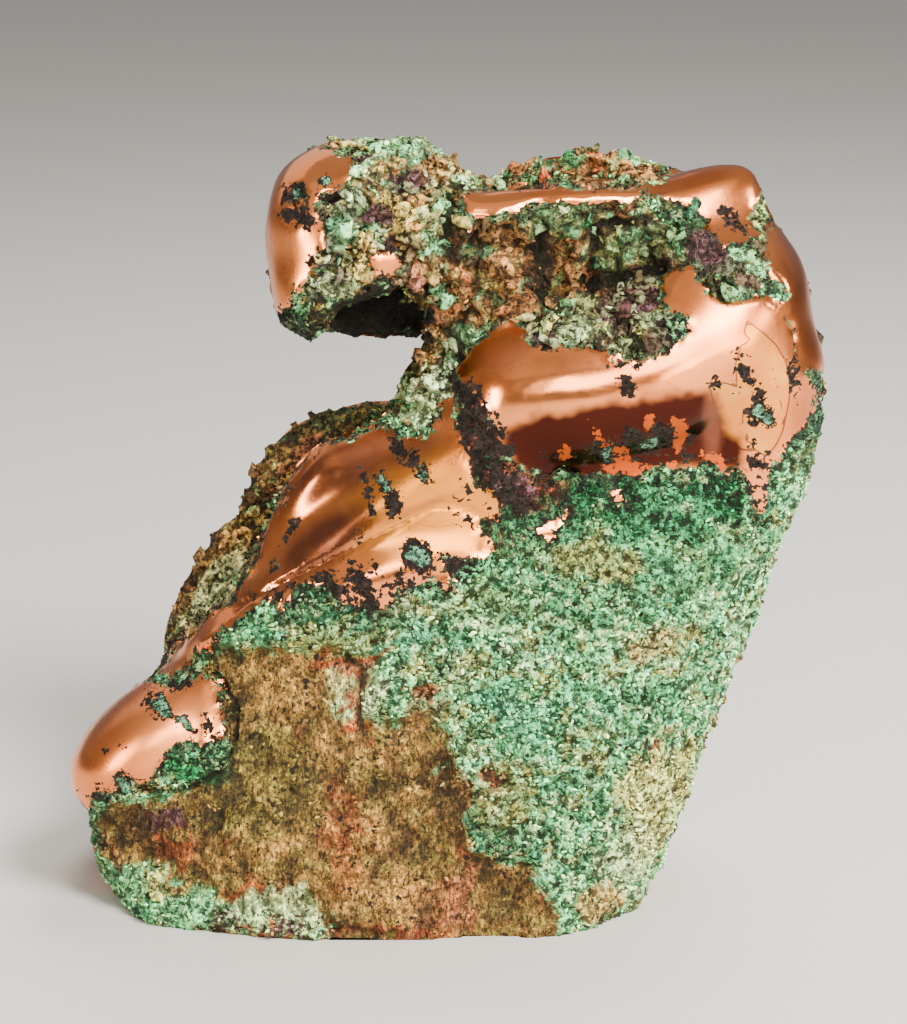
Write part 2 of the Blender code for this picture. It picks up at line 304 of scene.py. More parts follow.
# Creases and cracks: points along them in frame pixels, half width in pixels, depth in millimetres.
CREASES = {
    "thigh groove": ((
        (478, 516), (455, 506), (432, 506), (400, 523), (350, 549), (290, 579), (232, 607),
    ), 2.5, 0.7),
    "foot collar": ((
        (212, 676), (228, 700), (235, 725), (230, 750), (215, 770), (190, 787), (160, 794), (140, 793),
    ), 2.8, 1.5),
    "foot crack": (((230, 754), (243, 744), (254, 734)), 1.5, 0.8),
    "face crack": (((232, 765), (258, 764), (286, 766)), 1.2, 0.5),
    "face crack low": (((291, 793), (305, 787), (318, 780)), 1.3, 0.6),
    "face edge": (((340, 652), (362, 672), (360, 715), (364, 740)), 3.0, 1.0),
    "recess crevice": (((543, 228), (540, 250), (548, 270), (546, 292)), 7.0, 3.0),
    "recess crevice left": (((480, 250), (474, 275), (484, 300)), 4.0, 1.4),
    "recess crevice right": (((592, 212), (600, 235), (592, 255)), 5.0, 1.8),
    "recess slot": (((588, 283), (620, 276), (660, 262)), 4.5, 3.0),
    "recess slot left": (((535, 312), (552, 306), (575, 300)), 3.0, 1.6),
    "recess shade": (((600, 232), (640, 222), (668, 214)), 6.0, 2.0),
    "head seam": (((452, 200), (446, 230), (452, 262)), 6.0, 2.2),
    "head seam low": (((456, 262), (470, 250), (476, 236)), 4.0, 1.4),
    "ledge step": (((474, 864), (500, 862), (540, 868)), 2.5, 1.2),
    "crest split": (((285, 497), (300, 470), (316, 452)), 2.0, 0.8),
    "ridge foot": (((440, 328), (456, 342), (450, 362)), 4.0, 1.6),
}
# Share of the crust that malachite grains cover, where they don't cover it all.
GRAIN_COVER = {
    "brown face": 0.12, "head rough": 0.12, "recess": 0.10, "arm rim": 0.25, "neck": 0.3,
    "back wall": 0.25, "cavity": 0.0, "ledge patch": 0.15, "shoulder crust": 0.45, "hip band": 0.1,
}
# Outlines of polished metal under the ridge where a dark reflection is painted into the copper's colour; it
# is bright again in the islands below.
PAINTED_UNDERSIDE_REFLECTION = {
    "under ridge": (
        (502, 440), (520, 420), (548, 408), (600, 404), (640, 404), (672, 396), (690, 390), (710, 388),
        (717, 413), (720, 437), (737, 443), (748, 462), (742, 475), (690, 470), (600, 482), (540, 480),
        (515, 462),
    ),
}
# Outlines of dull orange islands within the painted dark reflection, painted as orange reflections.
PAINTED_ORANGE_REFLECTIONS = {
    "main": (
        (588, 420), (598, 430), (606, 444), (616, 440), (624, 446), (632, 460), (646, 466), (676, 462),
        (672, 474), (640, 478), (612, 480), (600, 470), (604, 458), (596, 442),
    ),
    "right": ((672, 418), (684, 420), (690, 436), (680, 454), (670, 442)),
    "left": ((556, 452), (566, 448), (574, 458), (566, 466)),
    "middle": ((640, 420), (652, 416), (656, 424), (646, 430)),
    "foot": ((700, 450), (722, 456), (728, 470), (706, 466)),
}
# Satin patches on the metal: centre and radii in frame pixels, turn in degrees, strength.
SATIN = {
    "cap": ((284, 245), (34, 66), 8, 0.5),
    "hip top": ((500, 346), (40, 22), -12, 1.3),
    "thigh top": ((385, 438), (66, 14), -12, 1.3),
    "foot": ((160, 722), (80, 44), -32, 0.8),
    "shoulder": ((722, 318), (50, 30), -10, 0.6),
    "thigh": ((440, 492), (60, 30), -10, 0.8),
    "thigh low": ((430, 540), (50, 24), -10, 0.6),
    "belly": ((765, 385), (24, 60), 0, 0.5),
    "horn": ((715, 215), (40, 36), 0, 0.5),
}
# Patches where the golden look of a bright reflection is painted as a warmer, yellower copper:
# centre and radii in frame pixels, turn in degrees, strength.
PAINTED_WARM_REFLECTIONS = {
    "thigh": ((428, 505), (84, 46), -14, 0.9),
    "thigh low": ((440, 545), (60, 22), -10, 0.7),
}
# Outlines of metal where a golden reflection is painted, with a fine dark line, painted too, along their
# edges.
PAINTED_GOLD_REFLECTIONS = {
    "belly flame": (
        (710, 387), (718, 383), (727, 384), (738, 388), (743, 405), (743, 425), (746, 440), (752, 452),
        (742, 450), (722, 438), (717, 413),
    ),
    "belly round": (
        (753, 342), (765, 353), (773, 368), (778, 387), (782, 407), (784, 430), (777, 445), (767, 457),
        (755, 450), (744, 430), (743, 405), (738, 388), (736, 365), (742, 345),
    ),
    "belly arch": (
        (748, 321), (763, 332), (777, 345), (787, 362), (790, 380), (790, 400), (784, 430), (782, 407),
        (778, 387), (773, 368), (765, 353), (753, 342), (744, 333),
    ),
}
# Patches of metal peppered with small dark flecks: centre and radii in frame pixels, turn in
# degrees, strength.
PEPPER = {
    "thigh foot": ((340, 590), (110, 20), -6, 1.0),
    "thigh foot right": ((450, 572), (50, 22), -14, 0.9),
    "thigh by the band": ((478, 500), (30, 44), 20, 0.8),
    "thigh middle": ((382, 492), (26, 40), -20, 0.5),
    "hip edge": ((486, 430), (22, 66), -28, 1.1),
    "under ridge": ((620, 462), (110, 16), 0, 0.7),
    "belly crusts": ((750, 395), (22, 48), -20, 0.6),
    "belly foot": ((760, 478), (18, 44), 0, 0.9),
    "belly right": ((796, 375), (10, 40), 0, 0.9),
    "foot collar": ((208, 730), (16, 24), 0, 0.9),
    "foot toe": ((118, 790), (50, 14), -6, 0.8),
    "foot crust": ((158, 704), (26, 22), 0, 0.6),
    "cap ring": ((300, 206), (26, 26), 0, 0.5),
    "cap edge": ((318, 248), (14, 36), 16, 0.8),
    "horn speckle": ((734, 218), (22, 18), 0, 0.8),
    "shoulder speckle": ((700, 262), (24, 20), 0, 0.5),
    "ridge fleck": ((628, 376), (24, 20), 0, 0.6),
}
# How far each kind of crust grows as smooth round nodules instead of grains.
NODULES = {
    "head rough": 1.0, "ledge patch": 1.0, "neck": 0.8, "shoulder crust": 0.6, "recess": 0.6,
    "arm rim": 0.6, "back wall": 0.4,
}
# Soft brown patches of painted dark reflection on the metal: centre and radii in frame pixels,
# turn in degrees, strength.
PAINTED_DARK_REFLECTIONS = {
    "thigh hollow": ((322, 542), (60, 22), -34, 1.0),
    "thigh hollow low": ((285, 572), (50, 16), -38, 1.0),
    "thigh top": ((338, 468), (66, 26), -30, 0.95),
    "thigh top right": ((402, 448), (34, 16), -20, 0.7),
    "thigh groove": ((410, 512), (50, 5), -22, 0.5),
    "horn upper": ((690, 180), (46, 12), -14, 0.4),
    "hip top": ((500, 350), (34, 22), -10, 0.7),
    "ridge top": ((570, 362), (60, 10), 4, 0.35),
    "foot upper": ((115, 715), (34, 14), -42, 0.35),
    "right side": ((800, 300), (12, 70), -14, 0.4),
    "belly seam": ((712, 425), (9, 34), 0, 0.8),
    "belly right": ((800, 400), (10, 40), 0, 0.4),
}

# Patches that the skin carries by name: their slope at the edge, and the value on hidden sides.
STRENGTHS = {
    "painted_dark_reflection": (PAINTED_DARK_REFLECTIONS, 1.4, 0.3), "satin": (SATIN, 1.2, 0.5), "painted_warm_reflection": (PAINTED_WARM_REFLECTIONS, 1.2, 0.0),
    "pepper": (PEPPER, 1.4, 0.2),
}

# Small pits: centre in frame pixels, radius in pixels, depth in millimetres.
PITS = {
    "head ring": ((297, 192), 6, 1.6),
    "head blob": ((293, 216), 8, 1.0),
    "head spot pit": ((328, 196), 6, 1.2),
    "head hollow a": ((402, 173), 7, 1.5),
    "head hollow b": ((352, 212), 6, 1.2),
    "head hollow c": ((345, 243), 6, 1.4),
    "head hollow d": ((425, 292), 7, 1.6),
    "head hollow e": ((398, 243), 6, 1.2),
    "head hollow f": ((372, 180), 6, 1.2),
    "face hole a": ((382, 713), 5, 2.2),
    "face hole b": ((364, 733), 5, 2.2),
    "face hole c": ((291, 793), 3.5, 1.6),
    "face hole d": ((257, 729), 3, 1.2),
    "face hole e": ((197, 795), 3, 1.2),
    "face lens": ((488, 777), 8, 1.2),
    "face lens right": ((500, 780), 7, 1.2),
    "upper pit a": ((633, 604), 4, 1.2),
    "upper pit b": ((644, 616), 4, 1.2),
    "upper pit c": ((561, 640), 4, 1.0),
    "upper pit d": ((627, 598), 3, 1.0),
    "rim pit": ((300, 905), 4, 1.2),
    "ridge end pit": ((690, 243), 7, 1.8),
    "ridge end pit low": ((708, 262), 6, 1.4),
    "neck pit": ((452, 336), 6, 1.6),
    "neck pit low": ((437, 362), 5, 1.4),
    "arm pit": ((590, 170), 5, 1.6),
    "arm pit left": ((555, 172), 4, 1.4),
    "arm pit right": ((620, 183), 4, 1.2),
}

# Soft patches of colour on the crust: colour name, centre, radii, turn in degrees, strength.
PAINT = {
    "upper face": ("sea", (600, 560), (150, 70), -8, 0.8),
    "under ridge left": ("emerald", (590, 505), (45, 22), 0, 0.7),
    "face left top": ("emerald", (335, 610), (60, 24), 0, 0.8),
    "face crest": ("sea", (235, 635), (45, 22), -20, 0.9),
    "face crest olive": ("olive", (330, 640), (70, 10), -8, 0.7),
    "face crest dark": ("umber", (392, 600), (26, 12), -10, 0.8),
    "olive top": ("olive", (596, 560), (52, 26), 8, 0.8),
    "olive low": ("ochre", (655, 650), (26, 22), 0, 0.7),
    "olive left": ("olive", (480, 600), (40, 18), 10, 0.4),
    "pale corner": ("pale", (355, 690), (30, 32), 0, 0.9),
    "smooth teal": ("teal", (513, 712), (42, 17), 24, 1.0),
    "dark earth": ("umber", (446, 800), (18, 48), -8, 0.9),
    "olive mix": ("olive", (500, 800), (34, 36), 0, 0.7),
    "dark mix": ("emerald", (500, 835), (40, 18), 10, 0.7),
    "lens rust": ("rust", (490, 778), (17, 8), 8, 1.0),
    "ledge": ("umber", (500, 880), (38, 15), 0, 0.9),
    "ledge rim": ("ochre", (508, 864), (32, 4), 2, 1.0),
    "ledge pink": ("pink", (440, 905), (36, 24), 0, 0.8),
    "pale right": ("straw", (655, 800), (34, 60), 20, 0.7),
    "pale right low": ("pale", (632, 860), (26, 40), 10, 0.8),
    "ochre low right": ("ochre", (608, 905), (22, 15), -12, 1.0),
    "rust right": ("rust", (658, 745), (12, 6), -20, 0.9),
    "sea right": ("sea", (630, 720), (30, 22), 0, 0.8),
    "rust blot": ("rust", (425, 692), (16, 11), 0, 1.0),
    "brown blot": ("brown", (432, 714), (24, 10), 0, 0.9),
    "earth ochre upper": ("ochre", (285, 690), (55, 40), 0, 0.6),
    "earth olive": ("olive", (260, 790), (60, 60), 0, 0.6),
    "earth ochre low": ("ochre", (380, 900), (60, 30), 0, 0.8),
    "earth rust right": ("rust", (345, 840), (24, 50), 0, 0.6),
    "rust stripe": ("rust", (345, 663), (42, 12), 0, 1.0),
    "rust stripe down": ("rust", (357, 700), (9, 40), 0, 1.0),
    "toe shade": ("umber", (145, 826), (32, 24), -10, 1.0),
    "toe plum": ("plum", (160, 818), (20, 10), -10, 1.0),
    "toe rust": ("rust", (168, 860), (22, 15), 20, 0.9),
    "toe green": ("emerald", (97, 832), (12, 26), -15, 0.8),
    "rim straw": ("straw", (152, 888), (22, 11), 25, 0.8),
    "rim mint left": ("mint", (192, 912), (26, 18), 35, 1.0),
    "rim mint far": ("mint", (124, 884), (15, 20), 40, 0.9),
    "rim mint middle": ("pale", (278, 912), (52, 20), 0, 1.0),
    "rim plum": ("plum", (224, 922), (13, 10), 0, 0.9),
    "rim plum right": ("plum", (294, 922), (18, 7), -10, 0.8),
    "rim rust": ("rust", (238, 894), (22, 8), 0, 0.9),
    "rim copper": ("rust", (300, 935), (170, 5), 0, 1.0),
    "hip band low": ("plum", (515, 490), (22, 16), 0, 0.8),
    "foot emerald": ("emerald", (190, 765), (42, 20), -8, 1.0),
    "foot jade": ("jade", (180, 770), (20, 12), -8, 1.0),
    "foot edge": ("umber", (228, 725), (8, 40), 0, 0.9),
    "crest lip": ("pink", (305, 475), (20, 50), 35, 0.9),
    "crest foot": ("umber", (250, 575), (14, 50), 38, 0.8),
    "back wall rim": ("emerald", (330, 405), (70, 22), -25, 0.9),
    "back wall left": ("umber", (215, 500), (30, 60), 25, 0.8),
    "back wall streak": ("ochre", (235, 560), (16, 60), 40, 0.9),
    "back wall pale": ("pale", (215, 590), (12, 50), 38, 0.6),
    "head mint": ("mint", (348, 230), (9, 15), 0, 1.0),
    "head mint upper": ("pale", (361, 203), (11, 11), 0, 0.9),
    "head mint right": ("mint", (427, 243), (15, 20), 0, 1.0),
    "head mint crown": ("mint", (405, 146), (30, 7), 4, 0.9),
    "head mint front": ("mint", (356, 148), (20, 6), 0, 0.7),
    "head yellow": ("straw", (378, 161), (9, 9), 0, 1.0),
    "head yellow low": ("straw", (394, 234), (8, 10), 0, 1.0),
    "head straw": ("straw", (392, 199), (10, 8), 0, 0.8),
    "head pale": ("pale", (378, 238), (10, 7), 0, 0.9),
    "head tan": ("tan", (422, 207), (15, 13), 0, 1.0),
    "head tan top": ("tan", (371, 181), (9, 9), 0, 0.9),
    "head clay": ("clay", (411, 243), (10, 12), 0, 1.0),
    "head tan low": ("tan", (438, 268), (20, 11), 0, 0.9),
    "head slope": ("tan", (446, 168), (30, 11), 22, 0.9),
    "head plum a": ("plum", (378, 216), (17, 11), 0, 1.0),
    "head plum b": ("plum", (408, 182), (20, 11), 0, 1.0),
    "head plum c": ("plum", (364, 159), (9, 7), 0, 0.9),
    "head plum d": ("plum", (388, 251), (10, 8), 0, 0.9),
    "head plum e": ("plum", (428, 284), (14, 6), 0, 0.8),
    "head rose": ("rose", (408, 276), (9, 16), -20, 0.9),
    "head grey": ("slate", (333, 206), (14, 16), 0, 0.9),
    "head grey low": ("slate", (330, 262), (14, 32), 8, 0.7),
    # The chin's near black patches are painted shade under the head cap.
    "chin": ("soot_and_shade", (304, 320), (44, 20), -8, 1.0),
    "chin green": ("emerald", (284, 315), (18, 12), 0, 1.0),
    "chin brown": ("umber", (320, 322), (12, 10), 0, 0.8),
    "chin low": ("soot_and_shade", (300, 332), (30, 10), -6, 1.0),
    "neck shade": ("umber", (455, 250), (14, 26), 0, 0.8),
    "neck mint": ("mint", (470, 335), (20, 14), 0, 0.9),
    "neck pale": ("pale", (432, 395), (18, 28), 25, 0.9),
    "arm rim mint": ("jade", (572, 163), (20, 7), 0, 1.0),
    "arm rim mint left": ("mint", (490, 182), (26, 6), 0, 0.8),
    "arm rim dark": ("umber", (590, 172), (20, 6), 0, 0.6),
    "recess green": ("sea", (565, 222), (40, 18), 0, 0.9),
    "recess green right": ("sea", (650, 240), (60, 22), -18, 0.8),
    "recess green left": ("emerald", (475, 230), (18, 14), 0, 0.8),
    # Painted shade down the crevice in the recess.
    "recess crevice shade": ("umber", (545, 258), (9, 32), 0, 0.9),
    "recess shade": ("umber", (640, 275), (60, 10), -14, 0.9),
    "ledge plum": ("plum", (628, 302), (32, 16), -18, 1.0),
    "ledge plum left": ("plum", (545, 342), (18, 8), 0, 1.0),
    "ledge pale": ("pale", (585, 328), (24, 10), -20, 0.8),
    "horn band": ("emerald", (710, 230), (40, 26), 35, 0.8),
    "horn band plum": ("plum", (705, 248), (24, 16), 30, 0.9),
    "horn edge": ("sage", (765, 205), (10, 34), 0, 1.0),
    "shoulder mint": ("mint", (738, 248), (18, 10), 20, 0.7),
    "right green": ("jade", (790, 334), (13, 10), 0, 1.0),
    "right green low": ("emerald", (810, 420), (18, 60), 0, 0.9),
}

# Colours of the crusts, as screen red, green and blue; the near black one serves both black crust and
# painted shade.
CRUST_COLOURS = {
    "mint": (0.54, 0.88, 0.60), "sea": (0.24, 0.57, 0.37), "emerald": (0.04, 0.21, 0.12),
    "jade": (0.08, 0.58, 0.32), "teal": (0.40, 0.82, 0.60), "pale": (0.84, 0.95, 0.68),
    "olive": (0.60, 0.55, 0.25), "ochre": (0.74, 0.56, 0.28), "brown": (0.50, 0.38, 0.20),
    "umber": (0.28, 0.17, 0.09), "rust": (0.60, 0.24, 0.12), "clay": (0.64, 0.41, 0.23),
    "plum": (0.28, 0.13, 0.16), "rose": (0.66, 0.32, 0.32), "pink": (0.70, 0.38, 0.27),
    "sage": (0.62, 0.71, 0.42), "straw": (0.90, 0.80, 0.42), "tan": (0.74, 0.54, 0.30),
    "slate": (0.40, 0.43, 0.34), "soot_and_shade": (0.03, 0.025, 0.02),
}

# Studio air from level to overhead, and the floor's reach and the camera's clip in metres.
AIR_STOPS = ((0.0, (0.42, 0.405, 0.395)), (0.35, (0.75, 0.73, 0.70)), (0.75, (1.0, 0.98, 0.95)))
FLOOR_REACH = 12.0
CLIP_NEAR, CLIP_FAR = 0.02, 20.0

# Noises of the skin: scale in cells a metre (streaks: stretched places), detail, roughness.
NOISES = {
    "crumb": (620, 3.0, 0.65), "lump": (210, 3.0, 0.6), "haze": (60, 3.0, 0.6),
    "dust": (520, 3.0, 0.6), "streak": (1.0, 2.0, 0.6), "mottle": (300, 5.0, 0.72),
    "speck": (560, 5.0, 0.75), "grit": (1500, 5.0, 0.75), "worn": (110, 5.0, 0.75),
    "pits": (380, 1.0, 0.4),
}
# Colours of the reflections painted on the metal, as light values.
METAL_TINTS = {
    "painted_warm_reflection": (0.95, 0.33, 0.03), "painted_gold_reflection": (0.95, 0.44, 0.075), "deep gold": (0.92, 0.30, 0.045),
    "gold edge": (0.12, 0.03, 0.018), "painted_underside_reflection": (0.058, 0.0135, 0.009),
    "painted_orange_reflection": (0.48, 0.085, 0.010), "painted_dark_reflection": (0.26, 0.085, 0.045),
}

# Lamps: place, width and height in metres, share of the key light's power, colour, and whether
# they light the crust and are mirrored by the metal.
LAMPS = {
    "key": ((0.40, -0.50, 0.78), (0.28, 0.28), 1.0, (1.0, 0.97, 0.92), True, False),
    "window": ((0.14, -0.95, 0.36), (1.15, 0.27), 0.40, (1.0, 0.91, 0.72), True, True),
    "glint": ((0.26, -0.70, 0.60), (0.54, 0.36), 0.80, (1.0, 0.90, 0.66), False, True),
    "low": ((0.46, -0.62, 0.13), (0.70, 0.20), 0.16, (1.0, 0.86, 0.55), False, True),
    "left": ((-0.58, -0.52, 0.13), (0.12, 0.26), 0.12, (1.0, 0.88, 0.60), False, True),
    "ceiling": ((0.0, -0.80, 1.20), (2.4, 1.2), 0.12, (1.0, 0.85, 0.62), False, True),
    "side": ((0.75, -0.12, 0.30), (0.22, 0.22), 0.16, (1.0, 0.90, 0.75), True, True),
    "back": ((-0.42, 0.62, 0.60), (0.90, 0.60), 0.045, (1.0, 0.88, 0.68), False, True),
    "top": ((0.20, 0.30, 0.85), (0.40, 0.40), 0.32, (1.0, 0.97, 0.92), True, False),
}


def linear(colour):
    """Screen colour to the light values that shaders use."""
    c = np.asarray(colour, float)
    return np.where(c <= 0.04045, c / 12.92, ((c + 0.055) / 1.055) ** 2.4)


class NuggetSkinSettings(bpy.types.PropertyGroup):
    voxel: bpy.props.FloatProperty(
        name="Mesh pitch", description="Distance between the points of the skin",
        default=0.00107, min=0.0008, unit="LENGTH", subtype="DISTANCE")
    passes: bpy.props.IntProperty(
        name="Smoothing", description="Rounds of smoothing that take the facets away",
        default=36, min=0)
    relief: bpy.props.FloatProperty(
        name="Crust relief", description="How far the rough crust rises and falls",
        default=0.001, unit="LENGTH", subtype="DISTANCE")
    copper: bpy.props.FloatVectorProperty(
        name="Copper", description="Colour of the polished metal", subtype="COLOR",
        default=(1.0, 0.32, 0.10), min=0, max=1)
    polish: bpy.props.FloatProperty(
        name="Polish", description="Roughness of the polished metal", default=0.14, min=0, max=1)


class NuggetGrainSettings(bpy.types.PropertyGroup):
    size: bpy.props.FloatProperty(
        name="Grain size", description="Width of a malachite grain",
        default=0.0011, unit="LENGTH", subtype="DISTANCE")
    nodule: bpy.props.FloatProperty(
        name="Nodule size", description="Width of a round nodule of crust",
        default=0.0031, unit="LENGTH", subtype="DISTANCE")
    seed: bpy.props.IntProperty(name="Seed", description="Order of the scatter", default=7)


class NuggetStageSettings(bpy.types.PropertyGroup):
    floor: bpy.props.FloatVectorProperty(
        name="Floor", description="Colour of the floor", subtype="COLOR",
        default=(0.50, 0.485, 0.465), min=0, max=1)
    key: bpy.props.FloatProperty(
        name="Key light", description="Power of the main lamp in watts", default=27.0)
    air: bpy.props.FloatProperty(
        name="Room light", description="Strength of the light from all round", default=0.5)


def mesh_points(mesh):
    flat = np.empty(len(mesh.vertices) * 3, np.float32)
    mesh.vertices.foreach_get("co", flat)
    return flat.reshape(-1, 3).astype(float)


def mesh_edges(mesh):
    flat = np.empty(len(mesh.edges) * 2, np.int32)
    mesh.edges.foreach_get("vertices", flat)
    return flat.reshape(-1, 2)


def neighbour_mean(values, edges, counts):
    """Mean of the neighbours' values at each point."""
    a, b = edges[:, 0], edges[:, 1]
    out = np.empty_like(values)
    for k in range(values.shape[1]):
        column = values[:, k]
        total = np.bincount(a, column[b], len(values)) + np.bincount(b, column[a], len(values))
        out[:, k] = total / counts
    return out


def relaxed(values, edges, passes, forward=0.5, back=0.0):
    """Values evened out over the surface; a backward step after each keeps the volume."""
    counts = np.bincount(edges.ravel(), minlength=len(values)).astype(float)
    v = values.copy()
    for _ in range(passes):
        v += forward * (neighbour_mean(v, edges, counts) - v)
        if back:
            v += back * (neighbour_mean(v, edges, counts) - v)
    return v


def point_normals(mesh, points):
    mesh.vertices.foreach_set("co", points.astype(np.float32).ravel())
    mesh.update()
    flat = np.empty(len(mesh.vertices) * 3, np.float32)
    mesh.vertex_normals.foreach_get("vector", flat)
    return flat.reshape(-1, 3).astype(float)


def eye_point():
    back = Vector((0.0, -math.cos(VIEW_ELEVATION), math.sin(VIEW_ELEVATION)))
    return VIEW_TARGET + back * VIEW_DISTANCE


def frame_pixels(points):
    """Where the camera sees each point, in frame pixels."""
    eye = np.array(eye_point())
    forward = np.array(VIEW_TARGET) - eye
    forward /= np.linalg.norm(forward)
    right = np.array((1.0, 0.0, 0.0))
    up = np.cross(right, forward)
    d = points - eye
    depth = d @ forward
    u = FRAME_WIDTH / 2 + VIEW_FOCAL * (d @ right) / depth
    v = FRAME_HEIGHT / 2 - VIEW_FOCAL * (d @ up) / depth
    return np.stack((u, v), axis=1)


def seen_from_eye(mesh, points, normals):
    """True for the points that nothing hides from the eye."""
    polygons = [tuple(p.vertices) for p in mesh.polygons]
    tree = BVHTree.FromPolygons([tuple(p) for p in points], polygons)
    eye = eye_point()
    lift = 0.9 * MM
    seen = np.zeros(len(points), bool)
    for i, (p, n) in enumerate(zip(points, normals)):
        start = Vector(p) + Vector(n) * lift
        way = eye - start
        if way.dot(Vector(n)) <= 0:
            continue
        seen[i] = tree.ray_cast(start, way.normalized(), way.length)[0] is None
    return seen


def outline_depth(pixels, outline):
    """Signed distance to an outline in pixels, positive inside it."""
    near = np.full(len(pixels), 1e9)
    inside = np.zeros(len(pixels), bool)
    ring = np.array(outline, float)
    for a, b in zip(ring, np.roll(ring, -1, axis=0)):
        ab = b - a
        t = np.clip(((pixels - a) @ ab) / max(ab @ ab, 1e-9), 0, 1)
        near = np.minimum(near, np.linalg.norm(pixels - a - t[:, None] * ab, axis=1))
        crosses = (a[1] > pixels[:, 1]) != (b[1] > pixels[:, 1])
        rise = ab[1] if abs(ab[1]) > 1e-9 else 1e-9
        inside ^= crosses & (pixels[:, 0] < ab[0] * (pixels[:, 1] - a[1]) / rise + a[0])
    return np.where(inside, near, -near)


def outlines_depth(pixels, outlines):
    """Millimetres inside the nearest of several outlines."""
    return np.maximum.reduce([outline_depth(pixels, o) for o in outlines.values()]) / PX_PER_MM


def stroke_depth(pixels, start, end, half_width):
    """Signed distance to a stroke in pixels, positive inside it."""
    a, b = np.array(start, float), np.array(end, float)
    ab = b - a
    t = np.clip(((pixels - a) @ ab) / max(ab @ ab, 1e-9), 0, 1)
    return half_width - np.linalg.norm(pixels - a - t[:, None] * ab, axis=1)


def patch_reach(pixels, centre, radii, turn):
    """Distance from the middle of a turned ellipse, where its edge is at one."""
    c, s = math.cos(math.radians(turn)), math.sin(math.radians(turn))
    d = pixels - np.array(centre, float)
    along = (d[:, 0] * c + d[:, 1] * s) / radii[0]
    across = (-d[:, 0] * s + d[:, 1] * c) / radii[1]
    return np.sqrt(along**2 + across**2)


def patch_weight(pixels, centre, radii, turn, slope=5.0):
    """One in the middle of a round patch, falling to zero past its edge."""
    return np.clip((1.0 - patch_reach(pixels, centre, radii, turn)) * slope + 0.5, 0, 1)


def strongest_patch(pixels, patches, slope):
    """The strength of the strongest patch at each point."""
    strength = np.zeros(len(pixels))
    for centre, radii, turn, share in patches.values():
        strength = np.maximum(strength, share * patch_weight(pixels, centre, radii, turn, slope))
    return strength


def patch_depth(pixels, centre, radii, turn):
    """Millimetres inside the edge of a round patch."""
    return (1.0 - patch_reach(pixels, centre, radii, turn)) * min(radii) / PX_PER_MM


def noise_field(points, width, seed, octaves=3):
    """Smooth cloudy noise about zero, with lumps of about the given width."""
    shift = Vector((seed * 13.7, seed * 5.1, seed * 9.3))
    scale = 1.0 / width
    return np.array([
        noise.fractal(Vector(p) * scale + shift, 0.9, 2.1, octaves, noise_basis="PERLIN_ORIGINAL")
        for p in points
    ])


def lump_field(points, width, seed):
    """Round lumps side by side, each about the given width, from a half down to minus a half."""
    shift = Vector((seed * 3.3, seed * 7.7, seed * 1.9))
    scale = 1.0 / width
    return np.array([0.5 - noise.voronoi(Vector(p) * scale + shift)[0][0] for p in points])


def area_weight(pixels, name, edge=8.0):
    return np.clip(outline_depth(pixels, AREAS[name][1]) / edge + 0.5, 0, 1)


def crease_depth(pixels):
    """How far the creases and pits go in, in millimetres, and the distance to them."""
    cut = np.zeros(len(pixels))
    near = np.full(len(pixels), -30.0)
    for path, half_width, depth in CREASES.values():
        inside = np.full(len(pixels), -1e9)
        for a, b in zip(path, path[1:]):
            inside = np.maximum(inside, stroke_depth(pixels, a, b, half_width))
        near = np.maximum(near, inside / PX_PER_MM)
        cut = np.maximum(cut, depth * np.clip(inside / half_width + 0.6, 0, 1))
    for centre, radius, depth in PITS.values():
        inside = stroke_depth(pixels, centre, centre, radius)
        near = np.maximum(near, inside / PX_PER_MM - 0.3)
        cut = np.maximum(cut, depth * np.clip(inside / radius + 0.5, 0, 1))
    return cut, near


def crust_relief(points, pixels, seen, scale):
    """Height of the rough crust over the smooth skin, in metres."""
    show = seen.astype(float)
    head = area_weight(pixels, "head rough") * show
    recess = area_weight(pixels, "recess") * show
    brown = area_weight(pixels, "brown face") * show
    rim = area_weight(pixels, "arm rim") * show
    wall = area_weight(pixels, "back wall") * show
    patch = np.maximum(area_weight(pixels, "ledge patch"), area_weight(pixels, "shoulder crust")) * show
    neck = area_weight(pixels, "neck") * show
    craggy = np.clip(np.maximum.reduce((head * 1.1, recess * 1.7, rim * 1.1, wall * 0.9, neck * 1.3,
                                        patch * 0.8, (1 - show) * 0.9)), 0.55, 1.7)
    wide = lump_field(points, 6.0 * MM, 5)
    small = lump_field(points, 3.0 * MM, 6)
    cloud = noise_field(points, 4.0 * MM, 4, 4)
    broad = noise_field(points, 15 * MM, 8, 2)
    gaps = np.clip(np.abs(noise_field(points, 5.5 * MM, 14, 2)) * 4, 0, 1) - 1
    rise = craggy * (1.8 * wide + 1.3 * small + 1.5 * cloud + 1.4 * broad + 1.2 * gaps)
    grooved = points * np.array((1.0, 1.0, 0.35))
    rise = rise * (1 - 0.5 * brown) + brown * (noise_field(grooved, 2.6 * MM, 9, 3) * 1.2
                                         + noise_field(points, 8 * MM, 44, 3) * 1.5 - 1.3)
    return rise * scale


def set_point_values(mesh, name, values):
    layer = mesh.attributes.new(name, "FLOAT", "POINT")
    layer.data.foreach_set("value", values.astype(np.float32))


def set_point_colours(mesh, name, values):
    layer = mesh.attributes.new(name, "FLOAT_COLOR", "POINT")
    rgba = np.concatenate((values, np.ones((len(values), 1))), axis=1)
    layer.data.foreach_set("color", rgba.astype(np.float32).ravel())


